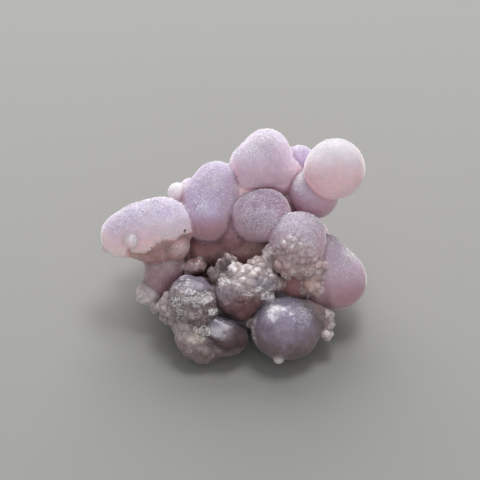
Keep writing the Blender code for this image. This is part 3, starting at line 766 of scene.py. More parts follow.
def keep_outer_shell(mesh):
    """Drop the shells of closed hollows. Each point takes the lowest number that it can reach
    along the edges, and the largest group of one number stays."""
    first, second = fetched(mesh.edges, "vertices", 2, np.int32).T
    label = np.arange(len(mesh.vertices))
    while True:
        lowest = np.minimum(label[first], label[second])
        after = label.copy()
        np.minimum.at(after, first, lowest)
        np.minimum.at(after, second, lowest)
        after = after[after]
        if np.array_equal(after, label):
            break
        label = after
    inner = np.flatnonzero(label != np.bincount(label).argmax())
    if len(inner):
        work = bmesh.new()
        work.from_mesh(mesh)
        work.verts.ensure_lookup_table()
        bmesh.ops.delete(work, geom=[work.verts[number] for number in inner], context="VERTS")
        work.to_mesh(mesh)
        work.free()


def soften_creases(mesh, crust, rounds):
    """Fill the sharp creases. In each round a point moves towards the mean of its neighbours,
    by half of the way on the lobes and less on the crusts."""
    points = points_of(mesh)
    count = len(points)
    edges = fetched(mesh.edges, "vertices", 2, np.int32)
    first, second = edges.T
    neighbours = np.bincount(edges.ravel(), minlength=count)[:, None]
    share = (0.5 - 0.20 * crust)[:, None]
    for _ in range(rounds):
        total = np.stack([np.bincount(first, points[second, axis], count)
                          + np.bincount(second, points[first, axis], count)
                          for axis in range(3)], axis=1)
        points += (total / neighbours - points) * share
    move_points(mesh, points)


def cut_flat(mesh):
    """Cut the mesh at the resting plane and close the cut."""
    work = bmesh.new()
    work.from_mesh(mesh)
    everything = work.verts[:] + work.edges[:] + work.faces[:]
    bmesh.ops.bisect_plane(work, geom=everything, plane_co=(0.0, 0.0, 0.0),
                           plane_no=(0.0, 0.0, -1.0), clear_outer=True)
    rims = [edge for edge in work.edges if edge.is_boundary]
    bmesh.ops.holes_fill(work, edges=rims, sides=0)
    bmesh.ops.triangulate(work, faces=work.faces[:])
    work.to_mesh(mesh)
    work.free()


def lobe_distances(points, balls):
    """For each point, the numbers of its nearest and its second nearest lobe, and how much
    further the second is. A lobe is measured as tapered rods between its balls: the radius
    changes evenly along the rod."""
    best = np.full(len(points), FAR)
    second = np.full(len(points), FAR)
    owner = np.zeros(len(points), int)
    runner = np.zeros(len(points), int)
    for number, rows in enumerate(balls.values()):
        lobe = np.full(len(points), FAR)
        for start, end in combinations_with_replacement(rows, 2):
            rod = end[:3] - start[:3]
            squared = max(float(rod @ rod), TINY)
            share = np.clip((points - start[:3]) @ rod / squared, 0.0, 1.0)
            middle = start[:3] + share[:, None] * rod
            radius = start[3] + share * (end[3] - start[3])
            lobe = np.minimum(lobe, np.linalg.norm(points - middle, axis=1) - radius)
        closer = lobe < best
        runner = np.where(closer, owner, np.where(lobe < second, number, runner))
        second = np.where(closer, best, np.minimum(second, lobe))
        owner = np.where(closer, number, owner)
        best = np.where(closer, lobe, best)
    return owner, runner, second - best


def joined_lobes(owner, runner, names):
    """1 where the two nearest lobes are a pair that runs together, 0 elsewhere."""
    pairs = np.zeros((len(names), len(names)))
    for first, second in JOINED_LOBES:
        row, column = names.index(first), names.index(second)
        pairs[row, column] = pairs[column, row] = 1.0
    return pairs[owner, runner]


def cap_mask(points, ball, facing, spread, edge):
    """1 inside the cone around the facing from the ball's centre, falling to 0 over the edge
    angle, for points that lie near the ball's surface."""
    offset = points - ball[:3]
    away = np.linalg.norm(offset, axis=1)
    cosine = offset @ (facing / np.linalg.norm(facing)) / np.maximum(away, TINY)
    lean = np.degrees(np.arccos(np.clip(cosine, -1.0, 1.0)))
    near = 1.0 - smooth(0.7, 1.1, np.abs(away - ball[3]))
    return near * (1.0 - smooth(spread, spread + edge, lean))


def crust_mask(points, balls, lumps):
    """How much each point belongs to a crust, from 0 to 1: it lies inside the crust's cone and
    close to one of the lumps."""
    mask = np.zeros(len(points))
    rough = 8.0 * cloud(points, 0.9)
    for name, number, facing, spread, *_ in all_crusts():
        cap = cap_mask(points, balls[name][number], facing, spread + 10.0 + rough, 9.0)
        mask = np.maximum(mask, cap)
    inside = np.flatnonzero(mask > FAINT)
    nearest = np.full(len(inside), FAR)
    for ball in lumps:
        away = np.linalg.norm(points[inside] - ball[:3], axis=1) - ball[3]
        nearest = np.minimum(nearest, away)
    mask[inside] *= 1.0 - smooth(0.14, 0.36, nearest)
    return mask


def patch_masks(points, normals, owner, names):
    """For each patch, 1 inside its ellipse on the drawing plane and 0 outside, on the surface
    that faces the front, and what the patch brings. A sugary patch has a crisp ragged edge, and
    one of colour alone fades out."""
    across, up, near = on_drawing(points).T
    front = smooth(0.05, 0.35, normals @ axes_of_drawing()[2]) * smooth(-1.0, 0.5, near)
    ragged = 0.45 * cloud(points, 0.28) + 0.22 * cloud(points + 9.0, 0.8)
    for middle, height, wide, high, name, *rest in PATCHES:
        away = np.hypot((across - middle) / wide, (up - height) / high)
        own = owner == names.index(name) if name else 1.0
        start = 0.82 if rest[-1] > 0.45 else 0.30
        yield front * own * (1.0 - smooth(start, 1.84 - start, away + ragged)), *rest


def ledge_masks(points, owner, names):
    """On the loaf, 1 on the face below the broken edge of its outer skin and 0 elsewhere, and
    1 on the lip along that edge, whose pale colour is partly the broken skin's own and partly a
    painted highlight."""
    across, up, near = on_drawing(points).T
    loaf = np.isin(owner, [names.index("loaf"), names.index("loaf_heel")])
    edge = np.interp(across, LEDGE_ACROSS, LEDGE_UP)
    above = up - edge - 0.26 * cloud(points, 0.45) - 0.12 * cloud(points + 3.0, 0.2)
    region = loaf * smooth(-12.4, -11.6, across) * smooth(1.2, 2.2, near)
    lip = smooth(-0.02, 0.06, above) * (1.0 - smooth(0.16, 0.42, above))
    return region * smooth(0.0, 0.06, -above), region * lip


def ring_mask(points, owner, names):
    """1 where the growth rings show on the column, falling to 0 at their inner and outer
    radius."""
    across, up, _ = on_drawing(points).T
    middle, height, inner, outer = RINGS
    away = np.hypot(across - middle, up - height)
    band = smooth(inner, inner + 0.5, away) * (1.0 - smooth(outer - 0.4, outer, away))
    return (owner == names.index("column")) * band * (1.0 - smooth(0.2, 1.0, up - height))


def finish_values(balls, place):
    """One value of every lobe's finish, in the order of the lobes."""
    return np.array([LOBE_FINISHES.get(name, COMMON_FINISH)[place] for name in balls])


def glossy_lobes(owner, balls):
    """1 on the glossy, uneven lobes low in front, 0 on the smooth frosted ones."""
    return (finish_values(balls, 3) > GLOSSY).astype(float)[owner]


def store(mesh, name, values):
    """Store one number or one colour for each point."""
    if values.ndim == 1:
        data = mesh.attributes.new(name, "FLOAT", "POINT").data
        data.foreach_set("value", values.astype(np.float32))
        return
    data = mesh.attributes.new(name, "FLOAT_COLOR", "POINT").data
    solid = np.column_stack((values, np.ones(len(values))))
    data.foreach_set("color", solid.astype(np.float32).ravel())


def values_of(mesh, name):
    """One stored number for each point."""
    return fetched(mesh.attributes[name].data, "value")


def mixed(tint, other, share):
    """The tint of each point moved towards another by its share: a + (b - a) share."""
    return tint + (np.array(other) - tint) * share[:, None]


def lump_tone_and_painted_light(points, centres, outward, lumpy):
    """How light each point of the crusts is. The nearest lump, by the distance to its centre
    less its radius, gives each lump its own tone, with a painted glow that makes it lighter on
    its sides than on its top. Painted shade makes it darker where two lumps are nearly as close."""
    shade = np.ones(len(points))
    inside = np.flatnonzero(lumpy > FAINT)
    best = np.full(len(inside), FAR)
    second = np.full(len(inside), FAR)
    tone = np.ones(len(inside))
    for number, (ball, out) in enumerate(zip(centres, outward)):
        offset = points[inside] - ball[:3]
        away = np.linalg.norm(offset, axis=1)
        # Painted glow of light through the lump's thin sides.
        side = 1.0 - smooth(0.35, 0.95, offset @ out / np.maximum(away, TINY))
        own = 0.68 + 0.34 * math.modf(GOLDEN_SHARE * number)[0] + 0.36 * side
        reach = away - ball[3]
        tone = np.where(reach < best, own, tone)
        second = np.minimum(second, np.maximum(reach, best))
        best = np.minimum(best, reach)
    # Painted shade in the grooves between lumps.
    tone = tone * (0.52 + 0.64 * smooth(0.0, 0.20, second - best))
    shade[inside] += (tone - 1.0) * lumpy[inside]
    return shade


def paint_skin(mesh, balls, lumps, colours):
    """Store the tint, crust, rings, frost and gloss of each point. A lobe's tint runs from its
    lower to its upper colour with how far its surface faces up and back towards the light, which is
    partly its own tone and partly painted light, and blends with the next lobe's in the crease
    between them. The tint also carries painted shade in the creases, on the crests and between the
    crust lumps, a painted glow beside the creases and on the lumps' sides, and the painted
    highlights, glints, sheen and shade of some patches."""
    points, normals = points_of(mesh), normals_of(mesh)
    names = list(balls)
    owner, runner, gap = lobe_distances(points, balls)
    upper, lower = [np.array([getattr(colours, name) for name in finish_values(balls, place)])
                    for place in (0, 1)]
    frost, gloss = finish_values(balls, 2)[owner], finish_values(balls, 3)[owner]
    glossy = glossy_lobes(owner, balls)
    together = joined_lobes(owner, runner, names)
    skyward = normals @ SKYWARD
    # Upper to lower colour by facing: partly the lobe's own tone, partly painted light.
    facing_up = smooth(-0.35, 1.0, skyward + 0.12 * cloud(points, 1.3))
    shared = 0.5 * (1.0 - smooth(0.0, 0.4 + 0.8 * together, gap))
    tint = mixed(mixed(lower[owner], upper[owner], facing_up),
                 mixed(lower[runner], upper[runner], facing_up), shared)
    # Painted shade in the creases between lobes that do not run together: darker on the glossy lobes
    # and towards blush on the frosted ones, with a painted glow towards peach just beside it.
    crease = (1.0 - together) * (1.0 - smooth(0.0, 0.4, gap))
    rim = (1.0 - together) * smooth(0.2, 0.5, gap) * (1.0 - smooth(0.5, 1.1, gap))
    tint = tint * (1.0 - 0.40 * crease * glossy)[:, None]
    tint = mixed(tint, colours.blush, 0.30 * crease * (1.0 - glossy))
    tint = mixed(tint, colours.peach, 0.12 * rim * (1.0 - glossy))
    # Painted shade: the crest that faces the light most is made a little darker.
    tint = tint * (1.0 - 0.24 * smooth(0.60, 1.0, skyward))[:, None]
    bare, lip = ledge_masks(points, owner, names)
    # Clay on the bare face is its own colour; peach on the lip is partly the broken skin's pale edge
    # and partly a painted highlight.
    tint = mixed(mixed(tint, colours.clay, 0.85 * bare), colours.peach, 0.5 * lip)
    tint = tint * (1.0 + 0.28 * bare * cloud(points + 2.0, 0.6))[:, None]
    lumpy = crust_mask(points, balls, lumps[0]) * (gloss < 0.75)
    tint = mixed(tint, colours.sugar, 0.4 * lumpy)
    # Painted light on the crusts: each lump's own tone, a painted glow on its sides and painted
    # shade between lumps.
    tint = tint * lump_tone_and_painted_light(points, *lumps, lumpy)[:, None]
    crust = np.maximum(lumpy, 0.12 * bare)
    rime = frost * smooth(0.1, 0.85, skyward)
    glitter = 0.006 * lumpy
    for mask, name, strength, frosted, sugar in patch_masks(points, normals, owner, names):
        tint = mixed(tint, getattr(colours, name), mask * strength)
        rime = np.maximum(rime, mask * frosted)
        crust = np.maximum(crust, mask * sugar)
        glitter = np.maximum(glitter, mask * max(0.0, 4.0 * sugar - 3.0))
    uneven = (0.025 + 0.07 * glossy) * cloud(points, 0.8) + 0.10 * crust * cloud(points, 0.3)
    store(mesh, "tint", np.clip(tint * (1.0 + uneven)[:, None], 0.0, 1.0))
    store(mesh, "crust", crust)
    store(mesh, "lumpy", lumpy)
    store(mesh, "rings", ring_mask(points, owner, names))
    store(mesh, "frost", rime * (1.0 - lumpy) * (1.0 - bare))
    store(mesh, "gloss", gloss)
    store(mesh, "glitter", glitter * (0.1 + smooth(-0.05, 0.35, cloud(points + 4.0, 0.5))))


def split_materials(mesh):
    """Give the faces inside the lumpy crusts the second material, and the other faces of the
    glossy lobes the third."""
    corners = fetched(mesh.loops, "vertex_index", kind=np.int32)
    starts = fetched(mesh.polygons, "loop_start", kind=np.int32)
    lumpy, gloss = [np.add.reduceat(values_of(mesh, name)[corners], starts) / 3.0
                    for name in ("lumpy", "gloss")]
    chosen = np.where(lumpy > 0.5, 1, np.where(gloss > GLOSSY, 2, 0))
    mesh.polygons.foreach_set("material_index", chosen.astype(np.int32))


class Tree:
    """Adds nodes to a node tree and links them."""

    def __init__(self, tree):
        self.tree = tree

    def fill(self, node, sockets):
        """Set or link a node's inputs, named by words or by i and a number."""
        for name, value in sockets.items():
            socket = node.inputs[int(name[1:]) if name[1:].isdigit() else name.replace("_", " ")]
            if isinstance(value, bpy.types.NodeSocket):
                self.tree.links.new(value, socket)
            else:
                socket.default_value = value
        return node

    def add(self, kind, settings=None, **sockets):
        """Add a node, named without its leading ShaderNode, set it up and fill its inputs."""
        node = self.tree.nodes.new(kind if kind.startswith("Node") else "ShaderNode" + kind)
        for name, value in (settings or {}).items():
            setattr(node, name, value)
        return self.fill(node, sockets)

    def math(self, operation, first, second=0.0):
        """One Math node's result."""
        return self.add("Math", {"operation": operation}, i0=first, i1=second).outputs[0]

    def times(self, first, second):
        """The product of two values."""
        return self.math("MULTIPLY", first, second)

    def plus(self, first, second):
        """The sum of two values."""
        return self.math("ADD", first, second)

    def minus(self, first, second):
        """The first value less the second."""
        return self.math("SUBTRACT", first, second)

    def vector(self, operation, first, second, output=0):
        """One Vector Math node's result."""
        node = self.add("VectorMath", {"operation": operation}, i0=first, i1=second)
        return node.outputs[output]

    def mix(self, share, first, second, blend="MIX"):
        """One colour Mix node's result."""
        node = self.add("Mix", {"data_type": "RGBA", "blend_type": blend},
                        i0=share, i6=first, i7=second)
        return node.outputs[2]

    def ramp(self, value, low, high):
        """The value's place between low and high, smoothly, from 0 to 1."""
        node = self.add("MapRange", {"interpolation_type": "SMOOTHSTEP"},
                        i0=value, i1=low, i2=high, i3=0.0, i4=1.0)
        return node.outputs[0]

    def noise(self, place, scale, detail=2.0, roughness=0.5, distortion=0.0):
        """One Noise Texture's value."""
        node = self.add("TexNoise", Vector=place, Scale=scale, Detail=detail,
                        Roughness=roughness, Distortion=distortion)
        return node.outputs[0]

    def stored(self, name, output="Fac"):
        """A value or colour that is stored for each point."""
        return self.add("Attribute", {"attribute_name": name}).outputs[output]

    def group(self, name, build, *inputs):
        """The outputs of a node group, which is built the first time that it is asked for."""
        tree = bpy.data.node_groups.get(name) or build(name)
        sockets = {f"i{number}": value for number, value in enumerate(inputs)}
        return self.add("Group", {"node_tree": tree}, **sockets).outputs


def new_group(name, inputs, outputs):
    """A node group with named inputs, vectors or numbers, and named number outputs: the group,
    its tree and the sockets that bring its inputs in."""
    group = bpy.data.node_groups.new(name, "ShaderNodeTree")
    for label, value in inputs.items():
        kind = "NodeSocketVector" if isinstance(value, tuple) else "NodeSocketFloat"
        socket = group.interface.new_socket(label, in_out="INPUT", socket_type=kind)
        socket.default_value = value
    for label in outputs:
        group.interface.new_socket(label, in_out="OUTPUT", socket_type="NodeSocketFloat")
    tree = Tree(group)
    return group, tree, tree.add("NodeGroupInput").outputs[:len(inputs)]


def speckle_group(name):
    """Fine frost: small scattered grains, more of them the larger the amount."""
    group, tree, (place, scale, amount) = new_group(
        name, {"Vector": MIDDLE, "Grain Scale": 6000.0, "Amount": 0.5}, ("Mask", "Height"))
    grains = tree.add("TexVoronoi", Vector=place, Scale=scale).outputs
    chance = tree.add("SeparateColor", Color=grains["Color"]).outputs
    patches = tree.ramp(tree.noise(place, 900.0, 4.0), 0.30, 0.66)
    kept = tree.math("LESS_THAN", chance[0], tree.times(amount, patches))
    core = tree.minus(1.0, tree.ramp(grains["Distance"], 0.15, 0.60))
    bright = tree.times(core, tree.math("POWER", chance[1], 1.5))
    tree.add("NodeGroupOutput", i0=tree.times(kept, bright), i1=tree.times(core, 0.5))
    return group


def speck_group(name):
    """One small dark speck: how far inside its radius a point lies from its centre, or how
    dark the specks before it made the point, if that is more."""
    group, tree, (place, centre, radius, before) = new_group(
        name, {"Vector": MIDDLE, "Centre": MIDDLE, "Radius": 0.0001, "Before": 0.0}, ("Mask",))
    away = tree.vector("DISTANCE", place, centre, "Value")
    reach = tree.times(radius, tree.plus(tree.noise(place, 7000.0), 0.5))
    inside = tree.minus(1.0, tree.ramp(tree.math("DIVIDE", away, reach), 0.7, 1.1))
    tree.add("NodeGroupOutput", i0=tree.math("MAXIMUM", inside, before))
    return group


def ring_group(name):
    """Growth rings: fine waves of the distance from a line that runs straight out of the
    drawing plane."""
    group, tree, (place, centre, spacing, amount) = new_group(
        name, {"Vector": MIDDLE, "Centre": MIDDLE, "Spacing": 0.0004, "Amount": 0.0},
        ("Height",))
    offset = tree.vector("SUBTRACT", place, centre)
    across, up = [tree.vector("DOT_PRODUCT", offset, tuple(axis), "Value")
                  for axis in axes_of_drawing()[:2]]
    squares = tree.plus(tree.times(across, across), tree.times(up, up))
    turns = tree.math("DIVIDE", tree.math("SQRT", squares), spacing)
    uneven = tree.plus(turns, tree.times(tree.noise(place, 900.0), 2.2))
    wave = tree.math("SINE", tree.times(uneven, math.tau))
    tree.add("NodeGroupOutput", i0=tree.times(wave, amount))
    return group


def placed_specks(skin):
    """Where each speck lies on the skin: the first hit of a ray straight into the drawing."""
    surface = BVHTree.FromObject(skin, bpy.context.evaluated_depsgraph_get())
    near = Vector(axes_of_drawing()[2])
    for across, up, radius in SPECKS:
        place, *_ = surface.ray_cast(Vector(off_drawing((across, up, 40.0)) * MM), -near)
        if place is None:
            raise RuntimeError("A mineral speck misses the stone")
        yield place, radius * MM


def speckled(tree, place, tint, speck, specks):
    """The tint with every dark speck laid on it."""
    mask = 0.0
    for centre, radius in specks:
        mask = tree.group("mineral speck", speck_group, place, centre, radius, mask)[0]
    return tree.mix(mask, tint, (*speck, 1.0))


def new_material(name):
    """A material with its tree, the piece's own coordinates and its stored tint."""
    material = bpy.data.materials.new(name)
    material.use_nodes = True
    tree = Tree(material.node_tree)
    place = tree.add("TexCoord").outputs["Object"]
    return material, tree, place, tree.stored("tint", "Color")


def shade(material, tree, **sockets):
    """Link the changing sockets of the material's shader, and set the even ones on it."""
    tree.fill(material.node_tree.nodes["Principled BSDF"], sockets)
    return material


def stone_material(name, speck, specks, sheen, mottle):
    """Waxy translucent chalcedony: tinted by point, frosted with fine grains, with growth rings
    and a few dark specks. The sheen is the pale bloom at its edges, and the mottle is how much
    lighter its milky clouds are."""
    material, tree, place, tint = new_material(name)
    crust, frost, ringed, gloss = map(tree.stored, ("crust", "frost", "rings", "gloss"))
    amount = tree.math("MAXIMUM", tree.times(frost, 0.75), crust)
    speckle = tree.group("frost speckle", speckle_group, place, 5200.0, amount)
    milky = tree.ramp(tree.noise(place, 1500.0, 5.0, 0.6), 0.40, 0.70)
    lighter = 1.0 + mottle
    tint = tree.mix(milky, tint, (lighter, lighter, lighter + 0.02, 1.0), "MULTIPLY")
    fold = tree.math("ABSOLUTE", tree.minus(tree.noise(place, 1700.0, 3.0, 0.55, 1.2), 0.5))
    vein = tree.minus(1.0, tree.ramp(fold, 0.0, 0.045))
    tint = tree.mix(tree.times(vein, tree.times(frost, 0.50)), tint, VEIN_WHITE)
    tint = tree.mix(tree.times(speckle["Mask"], 0.8), tint, RIME_WHITE)
    flecks = tree.ramp(tree.noise(place, 2300.0, 4.0, 0.6, 0.8), 0.50, 0.56)
    tint = tree.mix(tree.times(flecks, tree.times(crust, 0.80)), tint, FLECK_WHITE)
    chips = tree.ramp(tree.noise(place, 3600.0), 0.57, 0.63)
    tint = tree.mix(tree.times(chips, tree.times(crust, 0.75)), tint, CHIP_DARK)
    middle = tuple(off_drawing((*RINGS[:2], 0.0)) * MM)
    rings = tree.group("growth rings", ring_group, place, middle, RING_SPACING, ringed)[0]
    tint = tree.mix(tree.times(tree.ramp(rings, 0.2, 1.0), 0.14), tint, RING_PALE)
    fine = tree.noise(place, 5200.0, 4.0, 0.65)
    dull = tree.minus(tree.minus(0.54, tree.times(gloss, 0.40)), tree.times(crust, 0.12))
    height = tree.plus(tree.times(fine, 0.5),
                       tree.plus(speckle["Height"], tree.times(rings, 0.5)))
    bump = tree.add("Bump", Height=height, Strength=0.5, Distance=0.00009)
    return shade(material, tree, Base_Color=speckled(tree, place, tint, speck, specks),
                 Roughness=tree.plus(tree.times(fine, 0.20), dull), Normal=bump.outputs[0],
                 Coat_Weight=tree.times(gloss, 0.45), Coat_Roughness=0.22, IOR=QUARTZ_IOR,
                 Subsurface_Weight=1.0, Subsurface_Radius=(1.0, 0.80, 0.84),
                 Subsurface_Scale=0.0055, Sheen_Weight=sheen, Sheen_Roughness=0.28)


def sugar_material(name, speck, specks):
    """Wet-looking translucent sugar of the lumpy crusts: tinted by point, with clearer and
    whiter grains and a fine broken surface."""
    material, tree, place, tint = new_material(name)
    grains = tree.add("TexVoronoi", Vector=place, Scale=3600.0).outputs["Distance"]
    white = tree.ramp(tree.noise(place, 1100.0, 3.0), 0.42, 0.68)
    tint = tree.mix(tree.times(white, 0.25), tint, GRAIN_WHITE)
    tint = tree.mix(tree.times(tree.ramp(grains, 0.35, 0.8), 0.25), tint, GRAIN_CLEAR)
    fine = tree.noise(place, 6500.0, 3.0)
    bump = tree.add("Bump", Height=tree.minus(fine, grains), Strength=0.25, Distance=0.00005)
    return shade(material, tree, Base_Color=speckled(tree, place, tint, speck, specks),
                 Roughness=tree.plus(tree.times(fine, 0.4), 0.22), Normal=bump.outputs[0],
                 Coat_Weight=0.7, Coat_Roughness=0.14, IOR=QUARTZ_IOR, Subsurface_Weight=1.0,
                 Subsurface_Radius=(1.0, 0.9, 0.92), Subsurface_Scale=0.0020)


def frost_material():
    """Tiny bright crystal faces, a little tinted by the lobe that they sit on."""
    material, tree, place, tint = new_material("frost quartz")
    uneven = tree.noise(place, 4000.0)
    share = tree.plus(tree.times(uneven, 0.8), 0.2)
    return shade(material, tree, Base_Color=tree.mix(share, tint, FROST_WHITE),
                 Roughness=tree.times(uneven, 0.4), IOR=2.1)


def crystal_material():
    """Small clear-white quartz points with a wet gleam, a little tinted by what they sit on."""
    material, tree, place, tint = new_material("sugar quartz")
    milky = tree.noise(place, 3200.0, 3.0)
    share = tree.plus(tree.times(tree.ramp(milky, 0.35, 0.65), 0.6), 0.15)
    return shade(material, tree, Base_Color=tree.mix(share, tint, CRYSTAL_WHITE),
                 Roughness=tree.times(milky, 0.35), IOR=QUARTZ_IOR,
                 Coat_Weight=0.6, Coat_Roughness=0.08)


def crystal_shape():
    """One quartz point over its height and turn: a six-sided prism from -0.5 to 0.35, closed by
    a low point at 0.8 and by a flat below. Width across is 1."""
    turn = np.arange(6) * math.tau / 6.0
    ring = 0.5 * np.stack((np.cos(turn), np.sin(turn), np.zeros(6)), axis=1)
    points = np.vstack((ring - (0.0, 0.0, 0.5), ring + (0.0, 0.0, 0.35), ((0.0, 0.0, 0.8),)))
    along = np.arange(6)
    after = (along + 1) % 6
    quads = np.stack((along, after, after + 6, along + 6), axis=1)
    quads = np.vstack((quads, ((0, 3, 2, 1), (0, 5, 4, 3))))
    return points, quads, np.stack((along + 6, after + 6, np.full(6, 12)), axis=1)


def grain_shape():
    """One frost grain: a low closed three-sided point, 1 across."""
    turn = np.arange(3) * math.tau / 3.0
    ring = np.stack((0.58 * np.cos(turn), 0.58 * np.sin(turn), np.full(3, -0.25)), axis=1)
    points = np.vstack((ring, ((0.0, 0.0, 0.55),)))
    return points, np.empty((0, 4), int), np.array(((0, 1, 3), (1, 2, 3), (2, 0, 3), (0, 2, 1)))


def turned_frames(normals, lean, twist):
    """Three axes for each normal: two across and the normal leaned over by a random amount."""
    axis = normals + lean
    axis /= np.linalg.norm(axis, axis=1, keepdims=True)
    helper = np.where(np.abs(axis[:, 2:3]) < 0.9, (0.0, 0.0, 1.0), (1.0, 0.0, 0.0))
    side = np.cross(helper, axis)
    side /= np.linalg.norm(side, axis=1, keepdims=True)
    other = np.cross(axis, side)
    cosine, sine = np.cos(twist)[:, None], np.sin(twist)[:, None]
    return side * cosine + other * sine, other * cosine - side * sine, axis


def drawn_places(mesh, chance, count, draw):
    """Random places on the skin, with their normals and the number of a point beside each. A
    triangle is drawn by its area and by the chance at its corners, and the place lies inside it
    by two random shares."""
    points, normals = points_of(mesh), normals_of(mesh)
    mesh.calc_loop_triangles()
    corners = fetched(mesh.loop_triangles, "vertices", 3, np.int32)
    first, second, third = (points[corners[:, number]] for number in range(3))
    area = np.linalg.norm(np.cross(second - first, third - first), axis=1)
    weight = area * chance[corners].mean(axis=1) * (first[:, 2] > LOWEST_CRYSTAL)
    chosen = draw.choice(len(weight), size=count, p=weight / weight.sum())
    shares = draw.uniform(0.0, 1.0, (2, count, 1))
    shares = np.where(shares.sum(axis=0) > 1.0, 1.0 - shares, shares)
    places = (first[chosen] + shares[0] * (second - first)[chosen]
              + shares[1] * (third - first)[chosen])
    beside = corners[chosen, 0]
    return places, normals[beside], beside


def scattered(name, skin, shape, found, size, stretch, lean, draw):
    """A piece of many copies of a small shape at the found places of the skin: each is scaled,
    stretched along its axis, leaned over and twisted, and tinted as the skin beside it."""
    points, quads, triangles = shape
    places, normals, beside = found
    count = len(places)
    side, other, axis = turned_frames(normals, draw.normal(0.0, lean, (count, 3)),
                                      draw.uniform(0.0, math.tau, count))
    local = points * size[:, None, None]
    placed = (places[:, None]
              + local[..., 0:1] * side[:, None] + local[..., 1:2] * other[:, None]
              + local[..., 2:3] * stretch[:, None, None] * axis[:, None])
    piece = new_piece(name, *repeated(placed, quads, triangles))
    tint = fetched(skin.data.attributes["tint"].data, "color", 4)[beside, :3]
    store(piece.data, "tint", np.repeat(tint, len(points), axis=0))
    return piece


def finished_skin():
    """The stone's skin, which the crystals grow on."""
    skin = bpy.data.objects.get("chalcedony_skin")
    if skin is None:
        raise RuntimeError("Make the stone's skin first")
    return skin


class MakeSkin(Operator):
    """Fuse all lobes and lumps into one fine skin, carve its details and tint it"""

    bl_idname = "chalcedony.make_skin"
    bl_label = "Stone skin"

    def execute(self, context):
        """Build the piece that stands for the whole stone."""
        sizes, colours = context.scene.stone_sizes, context.scene.stone_colours
        balls = all_balls()
        lumps = [np.vstack(rows) for rows in zip(*(
            crust_lumps(balls[name][number], *rest) for name, number, *rest in all_crusts()))]
        parts = [rounded_hull(rows, 36, 54) for rows in balls.values()]
        parts.append(many_balls(lumps[0], 10, 14))
        parts.append(many_balls(buds(*lumps, 3, np.random.default_rng(3)), 6, 8))
        skin = new_piece("chalcedony_skin", *joined(parts))
        remesh = skin.modifiers.new("one skin", "REMESH")
        remesh.mode = "VOXEL"
        remesh.voxel_size = sizes.skin_grain
        apply_modifiers(skin)
        keep_outer_shell(skin.data)
        crust = crust_mask(points_of(skin.data), balls, lumps[0])
        soften_creases(skin.data, crust, sizes.crease_rounds)
        self.carve(skin.data, balls, lumps[0], sizes)
        cut_flat(skin.data)
        thin = skin.modifiers.new("fewer triangles", "DECIMATE")
        thin.ratio = min(1.0, sizes.skin_triangles / len(skin.data.polygons))
        apply_modifiers(skin)
        points = points_of(skin.data)
        points[:, 2] = np.maximum(points[:, 2], 0.0)
        move_points(skin.data, points)
        skin.data.shade_smooth()
        paint_skin(skin.data, balls, lumps, colours)
        dark = (colours.speck, list(placed_specks(skin)))
        skin.data.materials.clear()
        for material in (stone_material("frosted chalcedony", *dark, 1.0, 0.10),
                         sugar_material("sugar crust", *dark),
                         stone_material("smoky chalcedony", *dark, 0.4, 0.30)):
            skin.data.materials.append(material)
        split_materials(skin.data)
        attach(skin, BODY)
        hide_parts(NODE)
        return {"FINISHED"}

    def carve(self, mesh, balls, lumps, sizes):
        """Move points along their normals: small broken faces on the crusts and patches, slow
        waves, filled creases, knobs, and the loaf's face in below its broken skin."""
        points, normals = points_of(mesh), normals_of(mesh)
        names = list(balls)
        owner, runner, gap = lobe_distances(points, balls)
        crust = crust_mask(points, balls, lumps)
        for mask, *_, sugar in patch_masks(points, normals, owner, names):
            crust = np.maximum(crust, 0.5 * mask * sugar)
        bare, lip = ledge_masks(points, owner, names)
        crust = np.maximum(crust, bare)
        rise = (0.02 + 0.10 * glossy_lobes(owner, balls)) * cloud(points, 1.1)
        crusted = crust > FAINT
        rise[crusted] += crust[crusted] * (sizes.facet_height / MM) * (
            facets(points[crusted], sizes.facet_size / MM))
        filled = joined_lobes(owner, runner, names) * (1.0 - smooth(0.0, 1.1, gap))
        rise += filled * (1.0 - crust) * (sizes.crease_fill / MM)
        knobbly = np.array([KNOBBLY_LOBES.get(name, 0.0) for name in names])[owner]
        rough = knobbly > 0.0
        rise[rough] += knobbly[rough] * (sizes.knob_height / MM) * (
            knobs(points[rough], sizes.knob_size / MM) - 0.6)
        sunk = (bare - 0.10 * lip) * (sizes.ledge_depth / MM)
        move_points(mesh, points + normals * (rise - sunk)[:, None])


class MakeDruse(Operator):
    """Scatter small quartz points over the crusts"""

    bl_idname = "chalcedony.make_druse"
    bl_label = "Sugar crystals"

    def execute(self, context):
        """Build the joined crystals as one piece."""
        sizes, skin = context.scene.stone_sizes, finished_skin()
        draw = np.random.default_rng(7)
        count = sizes.crystal_count
        found = drawn_places(skin.data, values_of(skin.data, "glitter"), count, draw)
        size = sizes.crystal_width / MM * draw.uniform(0.35, 1.0, count) ** 1.4
        druse = scattered("sugar_crystals", skin, crystal_shape(), found, size,
                          draw.uniform(0.8, 1.3, count), 0.38, draw)
        druse.data.materials.append(crystal_material())
        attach(druse, BODY)
        return {"FINISHED"}


